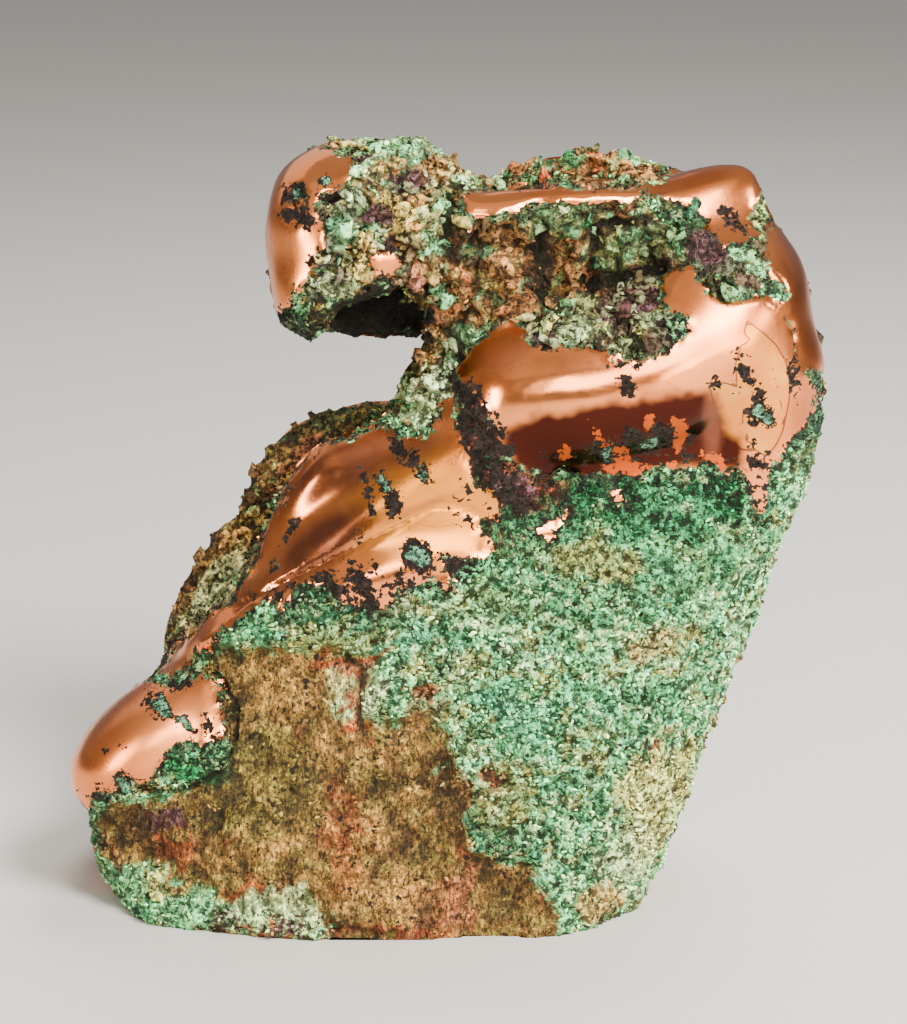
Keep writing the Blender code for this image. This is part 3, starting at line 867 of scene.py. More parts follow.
def merged_remesh(pitch):
    """The model's solid as one even mesh."""
    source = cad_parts[NODE]
    mesh = source.data.copy()
    bm = bmesh.new()
    bm.from_mesh(mesh)
    bmesh.ops.remove_doubles(bm, verts=bm.verts, dist=1e-6)
    bm.to_mesh(mesh)
    bm.free()
    work = bpy.data.objects.new("skin_work", mesh)
    bpy.context.scene.collection.objects.link(work)
    remesh = work.modifiers.new("Remesh", "REMESH")
    remesh.mode = "VOXEL"
    remesh.voxel_size = pitch
    graph = bpy.context.evaluated_depsgraph_get()
    result = bpy.data.meshes.new_from_object(work.evaluated_get(graph))
    bpy.data.objects.remove(work)
    return result


def cell_picks(points, width, seed):
    """A number from zero to one for the cell of crust that each point lies in."""
    shift = Vector((seed * 3.3, seed * 7.7, seed * 1.9))
    scale = 1.0 / width
    picks = np.empty(len(points))
    for i, p in enumerate(points):
        x, y, z = noise.voronoi(Vector(p) * scale + shift)[1][0]
        picks[i] = (math.sin(x * 12.99 + y * 78.23 + z * 37.72) * 43758.55) % 1.0
    return picks


def blended(picks, shares):
    """The colour of each pick, taken from a list of colours with their shares."""
    names = [name for name, _ in shares]
    steps = np.cumsum([share for _, share in shares]).astype(float)
    chosen = np.searchsorted(steps / steps[-1], picks)
    return np.array([linear(CRUST_COLOURS[name]) for name in names])[chosen.clip(0, len(names) - 1)]


def crust_tints(points, pixels, seen):
    """Colours of the crust's ground and flecks: laid patches where they show, clouds elsewhere."""
    warp = np.stack([noise_field(points, 7 * MM, 21 + k) + 0.6 * noise_field(points, 2.6 * MM, 25 + k)
                     for k in range(2)], axis=1)
    where = pixels + warp * 16
    shift = np.stack([noise_field(points, 3 * MM, 60 + k, 2) for k in range(3)], axis=1)
    tints = []
    for width, seed, hold_paint in ((5.0 * MM, 11, 0.88), (2.4 * MM, 12, 0.68)):
        layer = len(tints)
        picks = cell_picks(points + shift * 0.45 * width, width, seed)

        def laid(name, colour):
            hold = BLENDS[name][2]
            return linear(CRUST_COLOURS[colour]) * (1 - hold) + blended(picks, BLENDS[name][layer]) * hold

        tint = laid("face", "mint")
        for name, (colour, outline) in AREAS.items():
            w = np.clip(outline_depth(where, outline) / 4 + 0.5, 0, 1)[:, None]
            tint = tint * (1 - w) + laid(name, colour) * w
        for colour, centre, radii, turn, strength in PAINT.values():
            w = (patch_weight(where, centre, radii, turn) * strength * hold_paint)[:, None]
            tint = tint * (1 - w) + linear(CRUST_COLOURS[colour]) * w
        cloud = np.clip(noise_field(points, 28 * MM, 31) * 4 - 0.2, 0, 1)[:, None]
        back = laid("rest", "sea") * (1 - cloud) + laid("back wall", "brown") * cloud
        tints.append(np.where(seen[:, None], tint, back))
    return tints


def bare_field(points, pixels, seen, high):
    """Millimetres inside the edge of the polished metal."""
    bare = outlines_depth(pixels, BARE)
    shown = np.flatnonzero(seen)
    tree = KDTree(len(shown))
    for i in shown:
        tree.insert(points[i], int(i))
    tree.balance()
    wander = noise_field(points, 12 * MM, 41) * 9
    rubbed = (high / MM - 1.1) * 3.0 + wander * 0.8
    for i in np.flatnonzero(~seen):
        _, j, gap = tree.find(points[i])
        kept = bare[j] - gap / MM * 0.5 + wander[i] * 0.5
        bare[i] = max(min(kept, 6.0), min(rubbed[i], 4.0))
    return bare


def dark_field(pixels, seen):
    """Millimetres inside the edge of the dark crust strokes, and of their green hearts."""
    dark = np.full(len(pixels), -30.0)
    heart = np.full(len(pixels), -30.0)
    for name, (start, end, half_width) in DARK.items():
        depth = stroke_depth(pixels, start, end, half_width) / PX_PER_MM
        dark = np.maximum(dark, depth)
        if name in GREEN_HEARTED:
            heart = np.maximum(heart, depth - 0.45 * half_width / PX_PER_MM)
    return np.where(seen, dark, -30.0), np.where(seen, heart, -30.0)


def node(tree, kind, **values):
    """A shader or geometry node with its plain settings."""
    made = tree.nodes.new(kind)
    for key, value in values.items():
        setattr(made, key, value)
    return made


def math_node(tree, operation, a, b=None, clamp=False):
    made = node(tree, "ShaderNodeMath", operation=operation, use_clamp=clamp)
    for k, value in enumerate((a, b)):
        if value is None:
            continue
        if isinstance(value, (int, float)):
            made.inputs[k].default_value = value
        else:
            tree.links.new(value, made.inputs[k])
    return made.outputs[0]


def noise_node(tree, coords, scale, detail=3.0, roughness=0.6):
    made = node(tree, "ShaderNodeTexNoise")
    made.inputs["Scale"].default_value = scale
    made.inputs["Detail"].default_value = detail
    made.inputs["Roughness"].default_value = roughness
    tree.links.new(coords, made.inputs["Vector"])
    return made.outputs["Fac"]


def stretched(tree, coords, factors):
    made = node(tree, "ShaderNodeVectorMath", operation="MULTIPLY")
    tree.links.new(coords, made.inputs[0])
    made.inputs[1].default_value = factors
    return made.outputs[0]


def ramp(tree, value, stops):
    made = node(tree, "ShaderNodeValToRGB")
    elements = made.color_ramp.elements
    while len(elements) < len(stops):
        elements.new(0.5)
    for element, (position, colour) in zip(elements, stops):
        element.position = position
        element.color = (*colour, 1.0)
    tree.links.new(value, made.inputs[0])
    return made.outputs[0]


def mixed(tree, share, a, b, blend="MIX"):
    made = node(tree, "ShaderNodeMix", data_type="RGBA", blend_type=blend)
    for socket, value in ((made.inputs[0], share), (made.inputs[6], a), (made.inputs[7], b)):
        if isinstance(value, (int, float)):
            socket.default_value = value
        elif isinstance(value, tuple):
            socket.default_value = (*value, 1.0)
        else:
            tree.links.new(value, socket)
    return made.outputs[2]


def span(tree, value, low, high, start=0.0, end=1.0):
    made = node(tree, "ShaderNodeMapRange", interpolation_type="SMOOTHSTEP")
    tree.links.new(value, made.inputs[0])
    for k, number in zip((1, 2, 3, 4), (low, high, start, end)):
        made.inputs[k].default_value = number
    return made.outputs[0]


def attribute(tree, name, output="Fac"):
    return node(tree, "ShaderNodeAttribute", attribute_name=name).outputs[output]


def plus(tree, a, b):
    return math_node(tree, "ADD", a, b)


def minus(tree, a, b):
    return math_node(tree, "SUBTRACT", a, b)


def times(tree, a, b):
    return math_node(tree, "MULTIPLY", a, b)


def larger(tree, a, b):
    return math_node(tree, "MAXIMUM", a, b)


def swing(tree, value, width):
    """The value's swing about a half, times the width."""
    return times(tree, minus(tree, value, 0.5), width)


def left_over(tree, share, taken):
    """What is left of one where the share takes the given part of it away."""
    return minus(tree, 1.0, times(tree, share, taken))


def multiplied(tree, a, b):
    """One colour times the other."""
    return mixed(tree, 1.0, a, b, "MULTIPLY")


def two_tone(tree, pick, edge):
    """The ground colour below the edge value of the pick, the fleck colour above it."""
    share = span(tree, pick, edge, edge + 0.02)
    return mixed(tree, share, attribute(tree, "ground", "Color"), attribute(tree, "flecks", "Color"))


def cell_node(tree, vector, scale, feature="F1"):
    made = node(tree, "ShaderNodeTexVoronoi", feature=feature)
    made.inputs["Scale"].default_value = scale
    tree.links.new(vector, made.inputs["Vector"])
    return made


def bent_place(tree, place, base, scale, detail, reach):
    """The base place, pushed about by a coloured noise of the given scale and reach."""
    wobble = node(tree, "ShaderNodeTexNoise")
    wobble.inputs["Scale"].default_value = scale
    wobble.inputs["Detail"].default_value = detail
    tree.links.new(place, wobble.inputs["Vector"])
    bent = node(tree, "ShaderNodeVectorMath", operation="MULTIPLY_ADD")
    tree.links.new(wobble.outputs["Color"], bent.inputs[0])
    bent.inputs[1].default_value = (reach, reach, reach)
    tree.links.new(base, bent.inputs[2])
    return bent.outputs[0]


def bump_node(tree, height, strength, depth):
    made = node(tree, "ShaderNodeBump")
    made.inputs["Strength"].default_value = strength
    made.inputs["Distance"].default_value = depth
    tree.links.new(height, made.inputs["Height"])
    return made.outputs[0]


def skin_fields(t):
    """The noises and carried values that the metal and the crust share."""
    f = SimpleNamespace()
    f.place = node(t, "ShaderNodeTexCoord").outputs["Object"]
    crumb, lump, f.haze = (noise_node(t, f.place, *NOISES[k]) for k in ("crumb", "lump", "haze"))
    f.torn = plus(t, swing(t, lump, 5.0), swing(t, crumb, 5.5))
    f.frayed = plus(t, swing(t, lump, 3.2), swing(t, crumb, 7.0))
    f.bare_edge = plus(t, attribute(t, "bare"), f.torn)
    f.earth = attribute(t, "earth")
    f.drawn = mixed(t, f.earth, f.place, stretched(t, f.place, (1.0, 1.0, 0.7)))
    f.mottle = noise_node(t, f.drawn, *NOISES["mottle"])
    f.speck = noise_node(t, f.drawn, *NOISES["speck"])
    return f


def dark_and_bare(t, f):
    """Where dark crust lies, with its loose flecks, and where the metal is bare."""
    crust = span(t, plus(t, attribute(t, "dark"), f.frayed), -0.08, 0.12)
    near_edge = span(t, attribute(t, "bare"), 3.2, 0.4, 0.0, 0.55)
    thick = times(t, larger(t, attribute(t, "pepper"), near_edge), 0.285)
    dust = noise_node(t, f.place, *NOISES["dust"])
    dark = larger(t, crust, span(t, plus(t, dust, thick), 0.795, 0.805))
    return dark, times(t, span(t, f.bare_edge, -0.05, 0.12), minus(t, 1.0, dark))


def metal_colour(t, f, copper, painted_orange_reflection):
    """Copper with painted reflections that turn it golden, dark, red or brown."""
    hazy = tuple(c * k for c, k in zip(copper, (0.82, 0.70, 0.62)))
    colour = mixed(t, span(t, f.haze, 0.35, 0.7), tuple(copper), hazy)
    # A warmer copper where the golden look of a bright reflection is painted.
    colour = mixed(t, attribute(t, "painted_warm_reflection"), colour, METAL_TINTS["painted_warm_reflection"])
    # Painted golden reflections, with a painted dark line along their edges.
    painted_gold_reflection = attribute(t, "painted_gold_reflection")
    gold_reflection_tint = mixed(t, span(t, f.haze, 0.42, 0.55), METAL_TINTS["painted_gold_reflection"], METAL_TINTS["deep gold"])
    colour = mixed(t, span(t, painted_gold_reflection, 0.0, 0.25, 0.0, 0.85), colour, gold_reflection_tint)
    line = span(t, math_node(t, "ABSOLUTE", painted_gold_reflection), 0.24, 0.12, 0.0, 0.8)
    colour = mixed(t, line, colour, METAL_TINTS["gold edge"])
    # The dark reflection painted over the metal under the ridge.
    painted_underside_reflection = span(t, plus(t, attribute(t, "painted_underside_reflection"), swing(t, f.haze, 14.0)), -2.6, 1.6)
    colour = mixed(t, painted_underside_reflection, colour, METAL_TINTS["painted_underside_reflection"])
    colour = mixed(t, painted_orange_reflection, colour, METAL_TINTS["painted_orange_reflection"])
    # Soft brown patches of painted dark reflection.
    painted_dark_reflection = times(t, attribute(t, "painted_dark_reflection"), span(t, f.haze, 0.3, 0.55, 0.6, 1.0))
    return mixed(t, painted_dark_reflection, colour, METAL_TINTS["painted_dark_reflection"])


def metal_shader(t, f, settings):
    """Polished copper with fine rubbed streaks."""
    streak_up = noise_node(t, stretched(t, f.place, (2600, 2600, 130)), *NOISES["streak"])
    streak_along = noise_node(t, stretched(t, f.place, (160, 1800, 1800)), *NOISES["streak"])
    streak = times(t, plus(t, streak_up, streak_along), 0.5)
    # Dull orange islands of painted reflection, rougher than the rest of the metal.
    painted_orange_reflection = span(t, plus(t, attribute(t, "painted_orange_reflection"), times(t, f.torn, 0.8)), -0.1, 0.25)
    metal = node(t, "ShaderNodeBsdfPrincipled")
    metal.inputs["Metallic"].default_value = 1.0
    t.links.new(metal_colour(t, f, settings.copper, painted_orange_reflection), metal.inputs["Base Color"])
    dull = plus(t, times(t, attribute(t, "satin"), 0.20), times(t, painted_orange_reflection, 0.45))
    hazed = plus(t, times(t, f.haze, 0.12), settings.polish - 0.15)
    worn = plus(t, times(t, streak, 0.22), hazed)
    t.links.new(plus(t, worn, dull), metal.inputs["Roughness"])
    t.links.new(bump_node(t, streak, 0.12, 0.05 * MM), metal.inputs["Normal"])
    return metal


def grain_colour(t, f, cells, pick):
    """Crust grains of ground and fleck colour side by side, with painted shade in the gaps."""
    base = two_tone(t, plus(t, f.mottle, swing(t, pick.outputs[1], 0.16)), 0.50)
    lift = ramp(t, pick.outputs[0], ((0.0, (0.10, 0.11, 0.09)), (0.25, (0.34, 0.34, 0.31)),
                                     (0.6, (0.8, 0.8, 0.8)), (1.0, (1.9, 1.85, 1.7))))
    calm = larger(t, times(t, f.earth, 0.6), span(t, f.haze, 0.46, 0.60, 0.0, 0.6))
    crust = multiplied(t, base, mixed(t, calm, lift, (0.85, 0.85, 0.85)))
    # Painted shade: near black in the gaps between the grains and in small dents.
    gap = times(t, span(t, cells.outputs["Distance"], 0.50, 0.70, 0.0, 0.85), left_over(t, f.earth, 0.5))
    dent = times(t, times(t, span(t, f.speck, 0.485, 0.445), 0.95), left_over(t, f.earth, 0.62))
    crust = mixed(t, larger(t, gap, dent), crust, multiplied(t, base, (0.03, 0.03, 0.03)))
    bright = times(t, span(t, f.speck, 0.55, 0.575), left_over(t, f.earth, 0.55))
    return mixed(t, bright, crust, multiplied(t, base, (1.9, 1.85, 1.65))), dent


def earthy(t, f, crust):
    """The brown face's fine grit, worn hollows and small pits over the crust."""
    leaning = stretched(t, f.place, (1.0, 1.0, 0.55))
    grit = ramp(t, noise_node(t, leaning, *NOISES["grit"]), (
        (0.39, (0.08, 0.075, 0.07)), (0.46, (0.70, 0.69, 0.66)), (0.60, (2.0, 1.95, 1.8))))
    crust = mixed(t, f.earth, crust, multiplied(t, crust, grit))
    worn_low = ramp(t, noise_node(t, f.place, *NOISES["worn"]), (
        (0.38, (0.30, 0.28, 0.26)), (0.50, (0.88, 0.88, 0.87)), (0.62, (1.45, 1.42, 1.32))))
    crust = mixed(t, f.earth, crust, multiplied(t, crust, worn_low))
    pitted = times(t, span(t, noise_node(t, f.place, *NOISES["pits"]), 0.715, 0.73), f.earth)
    return mixed(t, pitted, crust, (0.012, 0.009, 0.007))


def ball_colour(t, f, balls, seams, dent):
    """Round lumps of crust, each of one mineral, with painted shade in the seams between them."""
    kind = node(t, "ShaderNodeSeparateColor")
    t.links.new(balls.outputs["Color"], kind.inputs[0])
    shade = ramp(t, kind.outputs[1], (
        (0.0, (0.38, 0.37, 0.38)), (0.5, (1.15, 1.12, 1.15)), (1.0, (1.9, 1.85, 1.9))))
    ball = multiplied(t, two_tone(t, kind.outputs[0], 0.50), shade)
    dusty = ramp(t, f.speck, (
        (0.38, (0.25, 0.25, 0.24)), (0.50, (0.95, 0.95, 0.93)), (0.62, (1.5, 1.5, 1.4))))
    ball = multiplied(t, ball, dusty)
    # Painted shade: near black in the seams between the lumps.
    seam = larger(t, span(t, seams.outputs["Distance"], 0.15, 0.02), times(t, dent, 0.8))
    return mixed(t, times(t, seam, 0.92), ball, (0.014, 0.012, 0.010))


def darkened(t, f, crust, dark, pick):
    """The crust with its plum patches, painted shade in its hollows and cracks, dark rims and cuprite."""
    plum = times(t, span(t, plus(t, attribute(t, "plum"), f.torn), -0.1, 0.15),
                 span(t, pick.outputs[2], 0.80, 0.78))
    crust = mixed(t, plum, crust, ramp(t, f.speck, (
        (0.40, (0.012, 0.005, 0.006)), (0.52, (0.065, 0.024, 0.028)), (0.62, (0.26, 0.13, 0.15)))))
    # Painted shade: the crust darkens where it sinks into hollows and creases.
    deep = span(t, plus(t, attribute(t, "hollow"), times(t, f.torn, 0.4)), 0.8, 3.2)
    crust = mixed(t, times(t, deep, 0.75), crust, (0.016, 0.014, 0.011))
    cuprite = ramp(t, f.speck, (
        (0.36, (0.003, 0.002, 0.002)), (0.50, (0.010, 0.006, 0.006)), (0.60, (0.030, 0.018, 0.016))))
    rim = times(t, span(t, f.bare_edge, -2.4, -0.5), span(t, f.mottle, 0.40, 0.50))
    crust = mixed(t, times(t, rim, 0.85), crust, cuprite)
    heart = span(t, plus(t, attribute(t, "heart"), times(t, f.torn, 0.6)), -0.1, 0.3)
    jade = mixed(t, span(t, f.speck, 0.42, 0.58), (0.01, 0.03, 0.02), (0.16, 0.42, 0.25))
    crust = mixed(t, dark, crust, mixed(t, heart, cuprite, jade))
    # Painted shade along the creases and in the pits.
    crack = span(t, plus(t, attribute(t, "crack"), times(t, f.torn, 0.25)), -0.5, 0.5)
    return mixed(t, times(t, crack, 0.85), crust, (0.012, 0.010, 0.008))


def crust_shader(t, f, dark):
    """Granular and nodular mineral crust, with its colour and its relief."""
    cells = cell_node(t, bent_place(t, f.place, f.drawn, 1300, 3.0, 0.0026), 900)
    pick = node(t, "ShaderNodeSeparateColor")
    t.links.new(cells.outputs["Color"], pick.inputs[0])
    swelled = bent_place(t, f.place, f.place, 420, 4.0, 0.006)
    balls = cell_node(t, swelled, 280)
    seams = cell_node(t, swelled, 280, "DISTANCE_TO_EDGE")
    crust, dent = grain_colour(t, f, cells, pick)
    crust = earthy(t, f, crust)
    round_share = attribute(t, "nodules")
    crust = mixed(t, times(t, round_share, 0.85), crust, ball_colour(t, f, balls, seams, dent))
    crust = darkened(t, f, crust, dark, pick)
    earth = node(t, "ShaderNodeBsdfPrincipled")
    t.links.new(crust, earth.inputs["Base Color"])
    earth.inputs["Specular IOR Level"].default_value = 0.2
    t.links.new(span(t, pick.outputs[0], 0.0, 1.0, 0.8, 0.45), earth.inputs["Roughness"])
    grainy = minus(t, plus(t, f.speck, times(t, f.mottle, 0.8)), times(t, cells.outputs["Distance"], 0.22))
    domed = times(t, span(t, seams.outputs["Distance"], 0.0, 0.34), 0.8)
    domed = plus(t, domed, times(t, grainy, 0.5))
    height = node(t, "ShaderNodeMix", data_type="FLOAT")
    for value, socket in ((round_share, 0), (grainy, 2), (domed, 3)):
        t.links.new(value, height.inputs[socket])
    t.links.new(bump_node(t, height.outputs[0], 1.0, 1.6 * MM), earth.inputs["Normal"])
    return earth


def skin_material(settings):
    """Polished copper that shows through dark cuprite and coloured malachite crust."""
    material = bpy.data.materials.new("copper_and_crust")
    material.use_nodes = True
    t = material.node_tree
    t.nodes.clear()
    fields = skin_fields(t)
    dark, bare = dark_and_bare(t, fields)
    join = node(t, "ShaderNodeMixShader")
    t.links.new(bare, join.inputs[0])
    t.links.new(crust_shader(t, fields, dark).outputs[0], join.inputs[1])
    t.links.new(metal_shader(t, fields, settings).outputs[0], join.inputs[2])
    out = node(t, "ShaderNodeOutputMaterial")
    t.links.new(join.outputs[0], out.inputs[0])
    return material


class NUGGET_OT_skin(bpy.types.Operator):
    """Make the nugget's copper body with its bare metal and crust"""

    bl_idname = "nugget.skin"
    bl_label = "Copper body"

    def execute(self, context):
        settings = context.scene.nugget_skin
        mesh = merged_remesh(settings.voxel)
        points = mesh_points(mesh)
        edges = mesh_edges(mesh)
        flat_base = points[:, 2] < 0.4 * settings.voxel
        points = relaxed(points, edges, settings.passes, 0.55, -0.3)
        points[flat_base, 2] = 0.0
        normals = point_normals(mesh, points)
        pixels = frame_pixels(points)
        seen = seen_from_eye(mesh, points, normals)
        broad = relaxed(points, edges, 160, 0.6)
        high = np.einsum("ij,ij->i", points - broad, normals)
        bare = bare_field(points, pixels, seen, high)
        dark, heart = dark_field(pixels, seen)
        ground, flecks = crust_tints(points, pixels, seen)
        smooth = relaxed(np.stack((bare,), axis=1), edges, 2)[:, 0]
        metal = np.clip(smooth / 1.6 + 0.5, 0, 1)
        rise = crust_relief(points, pixels, seen, settings.relief) * (1 - metal)
        hollow = -rise / MM
        cut, crack = crease_depth(pixels)
        rise -= np.where(seen, cut, 0) * MM
        rise -= 0.3 * MM
        points = points + normals * rise[:, None]
        points[flat_base, 2] = 0.0
        low, top = (np.array(c) for c in CAD_BOX)
        points = np.clip(points, low + 1e-6, top - 1e-6)
        mesh.vertices.foreach_set("co", points.astype(np.float32).ravel())
        mesh.update()
        set_point_values(mesh, "bare", bare)
        set_point_values(mesh, "dark", dark)
        set_point_values(mesh, "heart", heart)
        set_point_values(mesh, "crack", np.where(seen, crack, -30.0))
        # How deep each point sits in a hollow and crease, for the painted shade there.
        set_point_values(mesh, "hollow", hollow + np.where(seen, cut, 0))
        # Painted reflections on the metal: the dark underside, its dull orange islands and the golden
        # patches.
        set_point_values(mesh, "painted_underside_reflection", np.where(seen, outlines_depth(pixels, PAINTED_UNDERSIDE_REFLECTION), -30.0))
        set_point_values(mesh, "painted_orange_reflection", np.where(seen, outlines_depth(pixels, PAINTED_ORANGE_REFLECTIONS), -30.0))
        set_point_values(mesh, "painted_gold_reflection", np.where(seen, outlines_depth(pixels, PAINTED_GOLD_REFLECTIONS), -30.0))
        # Patches carried by name, among them the painted dark and warm reflections.
        for name, (patches, slope, hidden) in STRENGTHS.items():
            strength = strongest_patch(pixels, patches, slope)
            set_point_values(mesh, name, np.where(seen, strength, hidden))
        plum = np.full(len(points), -30.0)
        for colour, centre, radii, turn, _ in PAINT.values():
            if colour == "plum":
                plum = np.maximum(plum, patch_depth(pixels, centre, radii, turn))
        set_point_values(mesh, "plum", np.where(seen, plum, -30.0))
        nodules = np.zeros(len(points))
        for name, share in NODULES.items():
            nodules = np.maximum(nodules, share * area_weight(pixels, name))
        cloudy = np.clip(noise_field(points, 18 * MM, 33) * 4 + 0.3, 0, 0.8)
        set_point_values(mesh, "nodules", np.where(seen, nodules, cloudy))
        earth = np.maximum(area_weight(pixels, "brown face"), 0.15 * area_weight(pixels, "recess"))
        set_point_values(mesh, "earth", np.where(seen, earth, 0.0))
        crusted = np.clip(-smooth / 1.5 - 0.6, 0, 1)
        patchy = np.clip(noise_field(points, 5 * MM, 17) * 5 + 0.6, 0.15, 1)
        crusted *= np.clip(noise_field(points, 3.4 * MM, 18) * 5 + 0.55, 0.05, 1)
        for name, cover in GRAIN_COVER.items():
            share = np.where(seen, area_weight(pixels, name), 0)
            crusted *= 1 - share * (1 - cover * patchy)
        crusted[points[:, 2] < 1.2 * MM] = 0.0
        front = np.where(seen | (normals[:, 1] < -0.2), 1.0, 0.0)
        set_point_values(mesh, "druse_front", crusted * front)
        set_point_values(mesh, "druse_back", crusted * (1 - front))
        crystals = np.clip(np.maximum(dark * 1.2 + 0.4, 1 - np.abs(smooth + 1.4) / 1.6), 0, 1)
        crystals = np.where(seen, crystals, crystals * 0.4)
        crystals[points[:, 2] < 1.2 * MM] = 0.0
        set_point_values(mesh, "cuprite", crystals)
        lumps = nodules**2 * np.clip(-smooth / 1.2 - 0.3, 0, 1)
        lumps *= np.clip(noise_field(points, 9 * MM, 34) * 4 + 0.75, 0, 1)
        lumps = np.where(seen, lumps * np.clip(-crack, 0, 1), 0.0)
        set_point_values(mesh, "lumps", lumps)
        set_point_colours(mesh, "ground", ground)
        set_point_colours(mesh, "flecks", flecks)
        mesh.polygons.foreach_set("use_smooth", np.ones(len(mesh.polygons), bool))
        mesh.materials.clear()
        mesh.materials.append(skin_material(settings))
        mesh.name = "copper_body"
        body = bpy.data.objects.new("copper_body", mesh)
        context.scene.collection.objects.link(body)
        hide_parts(NODE)
        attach(body, BODY)
        return {"FINISHED"}


def scatter_tree(name, material, rounded):
    """Geometry nodes that sow crystals or round nodules over a surface as plain mesh."""
    tree = bpy.data.node_groups.new(name, "GeometryNodeTree")
    face = tree.interface
    face.new_socket("Geometry", in_out="INPUT", socket_type="NodeSocketGeometry")
    for label, kind in (("Grain size", "NodeSocketFloat"), ("Spacing", "NodeSocketFloat"),
                        ("Density", "NodeSocketFloat"), ("Seed", "NodeSocketInt")):
        face.new_socket(label, in_out="INPUT", socket_type=kind)
    face.new_socket("Where", in_out="INPUT", socket_type="NodeSocketString")
    face.new_socket("Geometry", in_out="OUTPUT", socket_type="NodeSocketGeometry")
    source = node(tree, "NodeGroupInput")
    sink = node(tree, "NodeGroupOutput")
    link = tree.links.new
    where = node(tree, "GeometryNodeInputNamedAttribute", data_type="FLOAT")
    link(source.outputs["Where"], where.inputs["Name"])
    sow = node(tree, "GeometryNodeDistributePointsOnFaces", distribute_method="POISSON")
    link(source.outputs["Geometry"], sow.inputs["Mesh"])
    link(source.outputs["Spacing"], sow.inputs["Distance Min"])
    link(source.outputs["Density"], sow.inputs["Density Max"])
    link(where.outputs["Attribute"], sow.inputs["Density Factor"])
    link(source.outputs["Seed"], sow.inputs["Seed"])
    if rounded:
        crystal = node(tree, "GeometryNodeMeshUVSphere")
        crystal.inputs["Segments"].default_value = 8
        crystal.inputs["Rings"].default_value = 6
    else:
        crystal = node(tree, "GeometryNodeMeshIcoSphere")
        crystal.inputs["Subdivisions"].default_value = 1
    crystal.inputs["Radius"].default_value = 0.5
    turn = node(tree, "FunctionNodeRandomValue", data_type="FLOAT_VECTOR")
    turn.inputs[0].default_value = (0, 0, 0)
    turn.inputs[1].default_value = (6.28, 6.28, 6.28)
    stretch = node(tree, "FunctionNodeRandomValue", data_type="FLOAT_VECTOR")
    stretch.inputs[0].default_value = (0.30, 0.40, 0.5) if rounded else (0.30, 0.35, 0.5)
    stretch.inputs[1].default_value = (0.9, 1.1, 1.6) if rounded else (0.9, 1.1, 2.0)
    size = node(tree, "ShaderNodeVectorMath", operation="SCALE")
    link(stretch.outputs[0], size.inputs[0])
    link(source.outputs["Grain size"], size.inputs["Scale"])
    place = node(tree, "GeometryNodeInstanceOnPoints")
    link(sow.outputs["Points"], place.inputs["Points"])
    link(crystal.outputs["Mesh"], place.inputs["Instance"])
    link(turn.outputs[0], place.inputs["Rotation"])
    link(size.outputs[0], place.inputs["Scale"])
    tone = node(tree, "FunctionNodeRandomValue", data_type="FLOAT")
    keep = node(tree, "GeometryNodeStoreNamedAttribute", data_type="FLOAT", domain="INSTANCE")
    keep.inputs["Name"].default_value = "tone"
    link(place.outputs["Instances"], keep.inputs["Geometry"])
    link(tone.outputs[1], keep.inputs["Value"])
    real = node(tree, "GeometryNodeRealizeInstances")
    link(keep.outputs["Geometry"], real.inputs["Geometry"])
    flat = node(tree, "GeometryNodeSetShadeSmooth")
    flat.inputs["Shade Smooth"].default_value = rounded
    link(real.outputs["Geometry"], flat.inputs["Geometry"])
    coat = node(tree, "GeometryNodeSetMaterial")
    coat.inputs["Material"].default_value = material
    link(flat.outputs[0], coat.inputs["Geometry"])
    link(coat.outputs["Geometry"], sink.inputs["Geometry"])
    return tree


def sown_piece(name, where, size, spacing, seed, material, rounded=False):
    """One mesh of crystals sown over the copper body where the named value allows."""
    tree = scatter_tree(name + "_nodes", material, rounded)
    work = bpy.data.objects.new(name + "_work", bpy.data.objects["copper_body"].data)
    bpy.context.scene.collection.objects.link(work)
    modifier = work.modifiers.new("Scatter", "NODES")
    modifier.node_group = tree
    values = {"Grain size": size, "Spacing": spacing, "Density": 1.6 / spacing**2, "Seed": seed,
              "Where": where}
    for socket in tree.interface.items_tree:
        if socket.in_out == "INPUT" and socket.name in values:
            modifier[socket.identifier] = values[socket.name]
    graph = bpy.context.evaluated_depsgraph_get()
    mesh = bpy.data.meshes.new_from_object(work.evaluated_get(graph))
    bpy.data.objects.remove(work)
    if not mesh.polygons:
        raise RuntimeError(f"no grains were sown for {name}")
    flat = mesh_points(mesh)
    if rounded:
        bend = np.stack([noise_field(flat, 2.2 * MM, 70 + k, 3) for k in range(3)], axis=1)
        flat = flat + bend * 2.2 * MM
    low, top = (np.array(c) for c in CAD_BOX)
    flat = np.clip(flat, low + 1e-6, top - 1e-6)
    mesh.vertices.foreach_set("co", flat.astype(np.float32).ravel())
    mesh.update()
    mesh.name = name
    piece = bpy.data.objects.new(name, mesh)
    bpy.context.scene.collection.objects.link(piece)
    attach(piece, BODY)
    return piece


def grain_material():
    """Malachite grains in the tint of the crust that they grow on."""
    material = bpy.data.materials.new("malachite_grain")
    material.use_nodes = True
    t = material.node_tree
    shader = t.nodes["Principled BSDF"]
    tone = attribute(t, "tone")
    tint = two_tone(t, tone, 0.50)
    lift = ramp(t, tone, ((0.0, (0.06, 0.06, 0.05)), (0.24, (0.35, 0.35, 0.35)), (0.5, (1.5, 1.5, 1.35)),
                          (0.54, (0.2, 0.2, 0.2)), (0.72, (0.8, 0.8, 0.8)), (1.0, (1.8, 1.8, 1.7))))
    t.links.new(multiplied(t, tint, lift), shader.inputs["Base Color"])
    shader.inputs["Roughness"].default_value = 0.5
    shader.inputs["Specular IOR Level"].default_value = 0.25
    return material


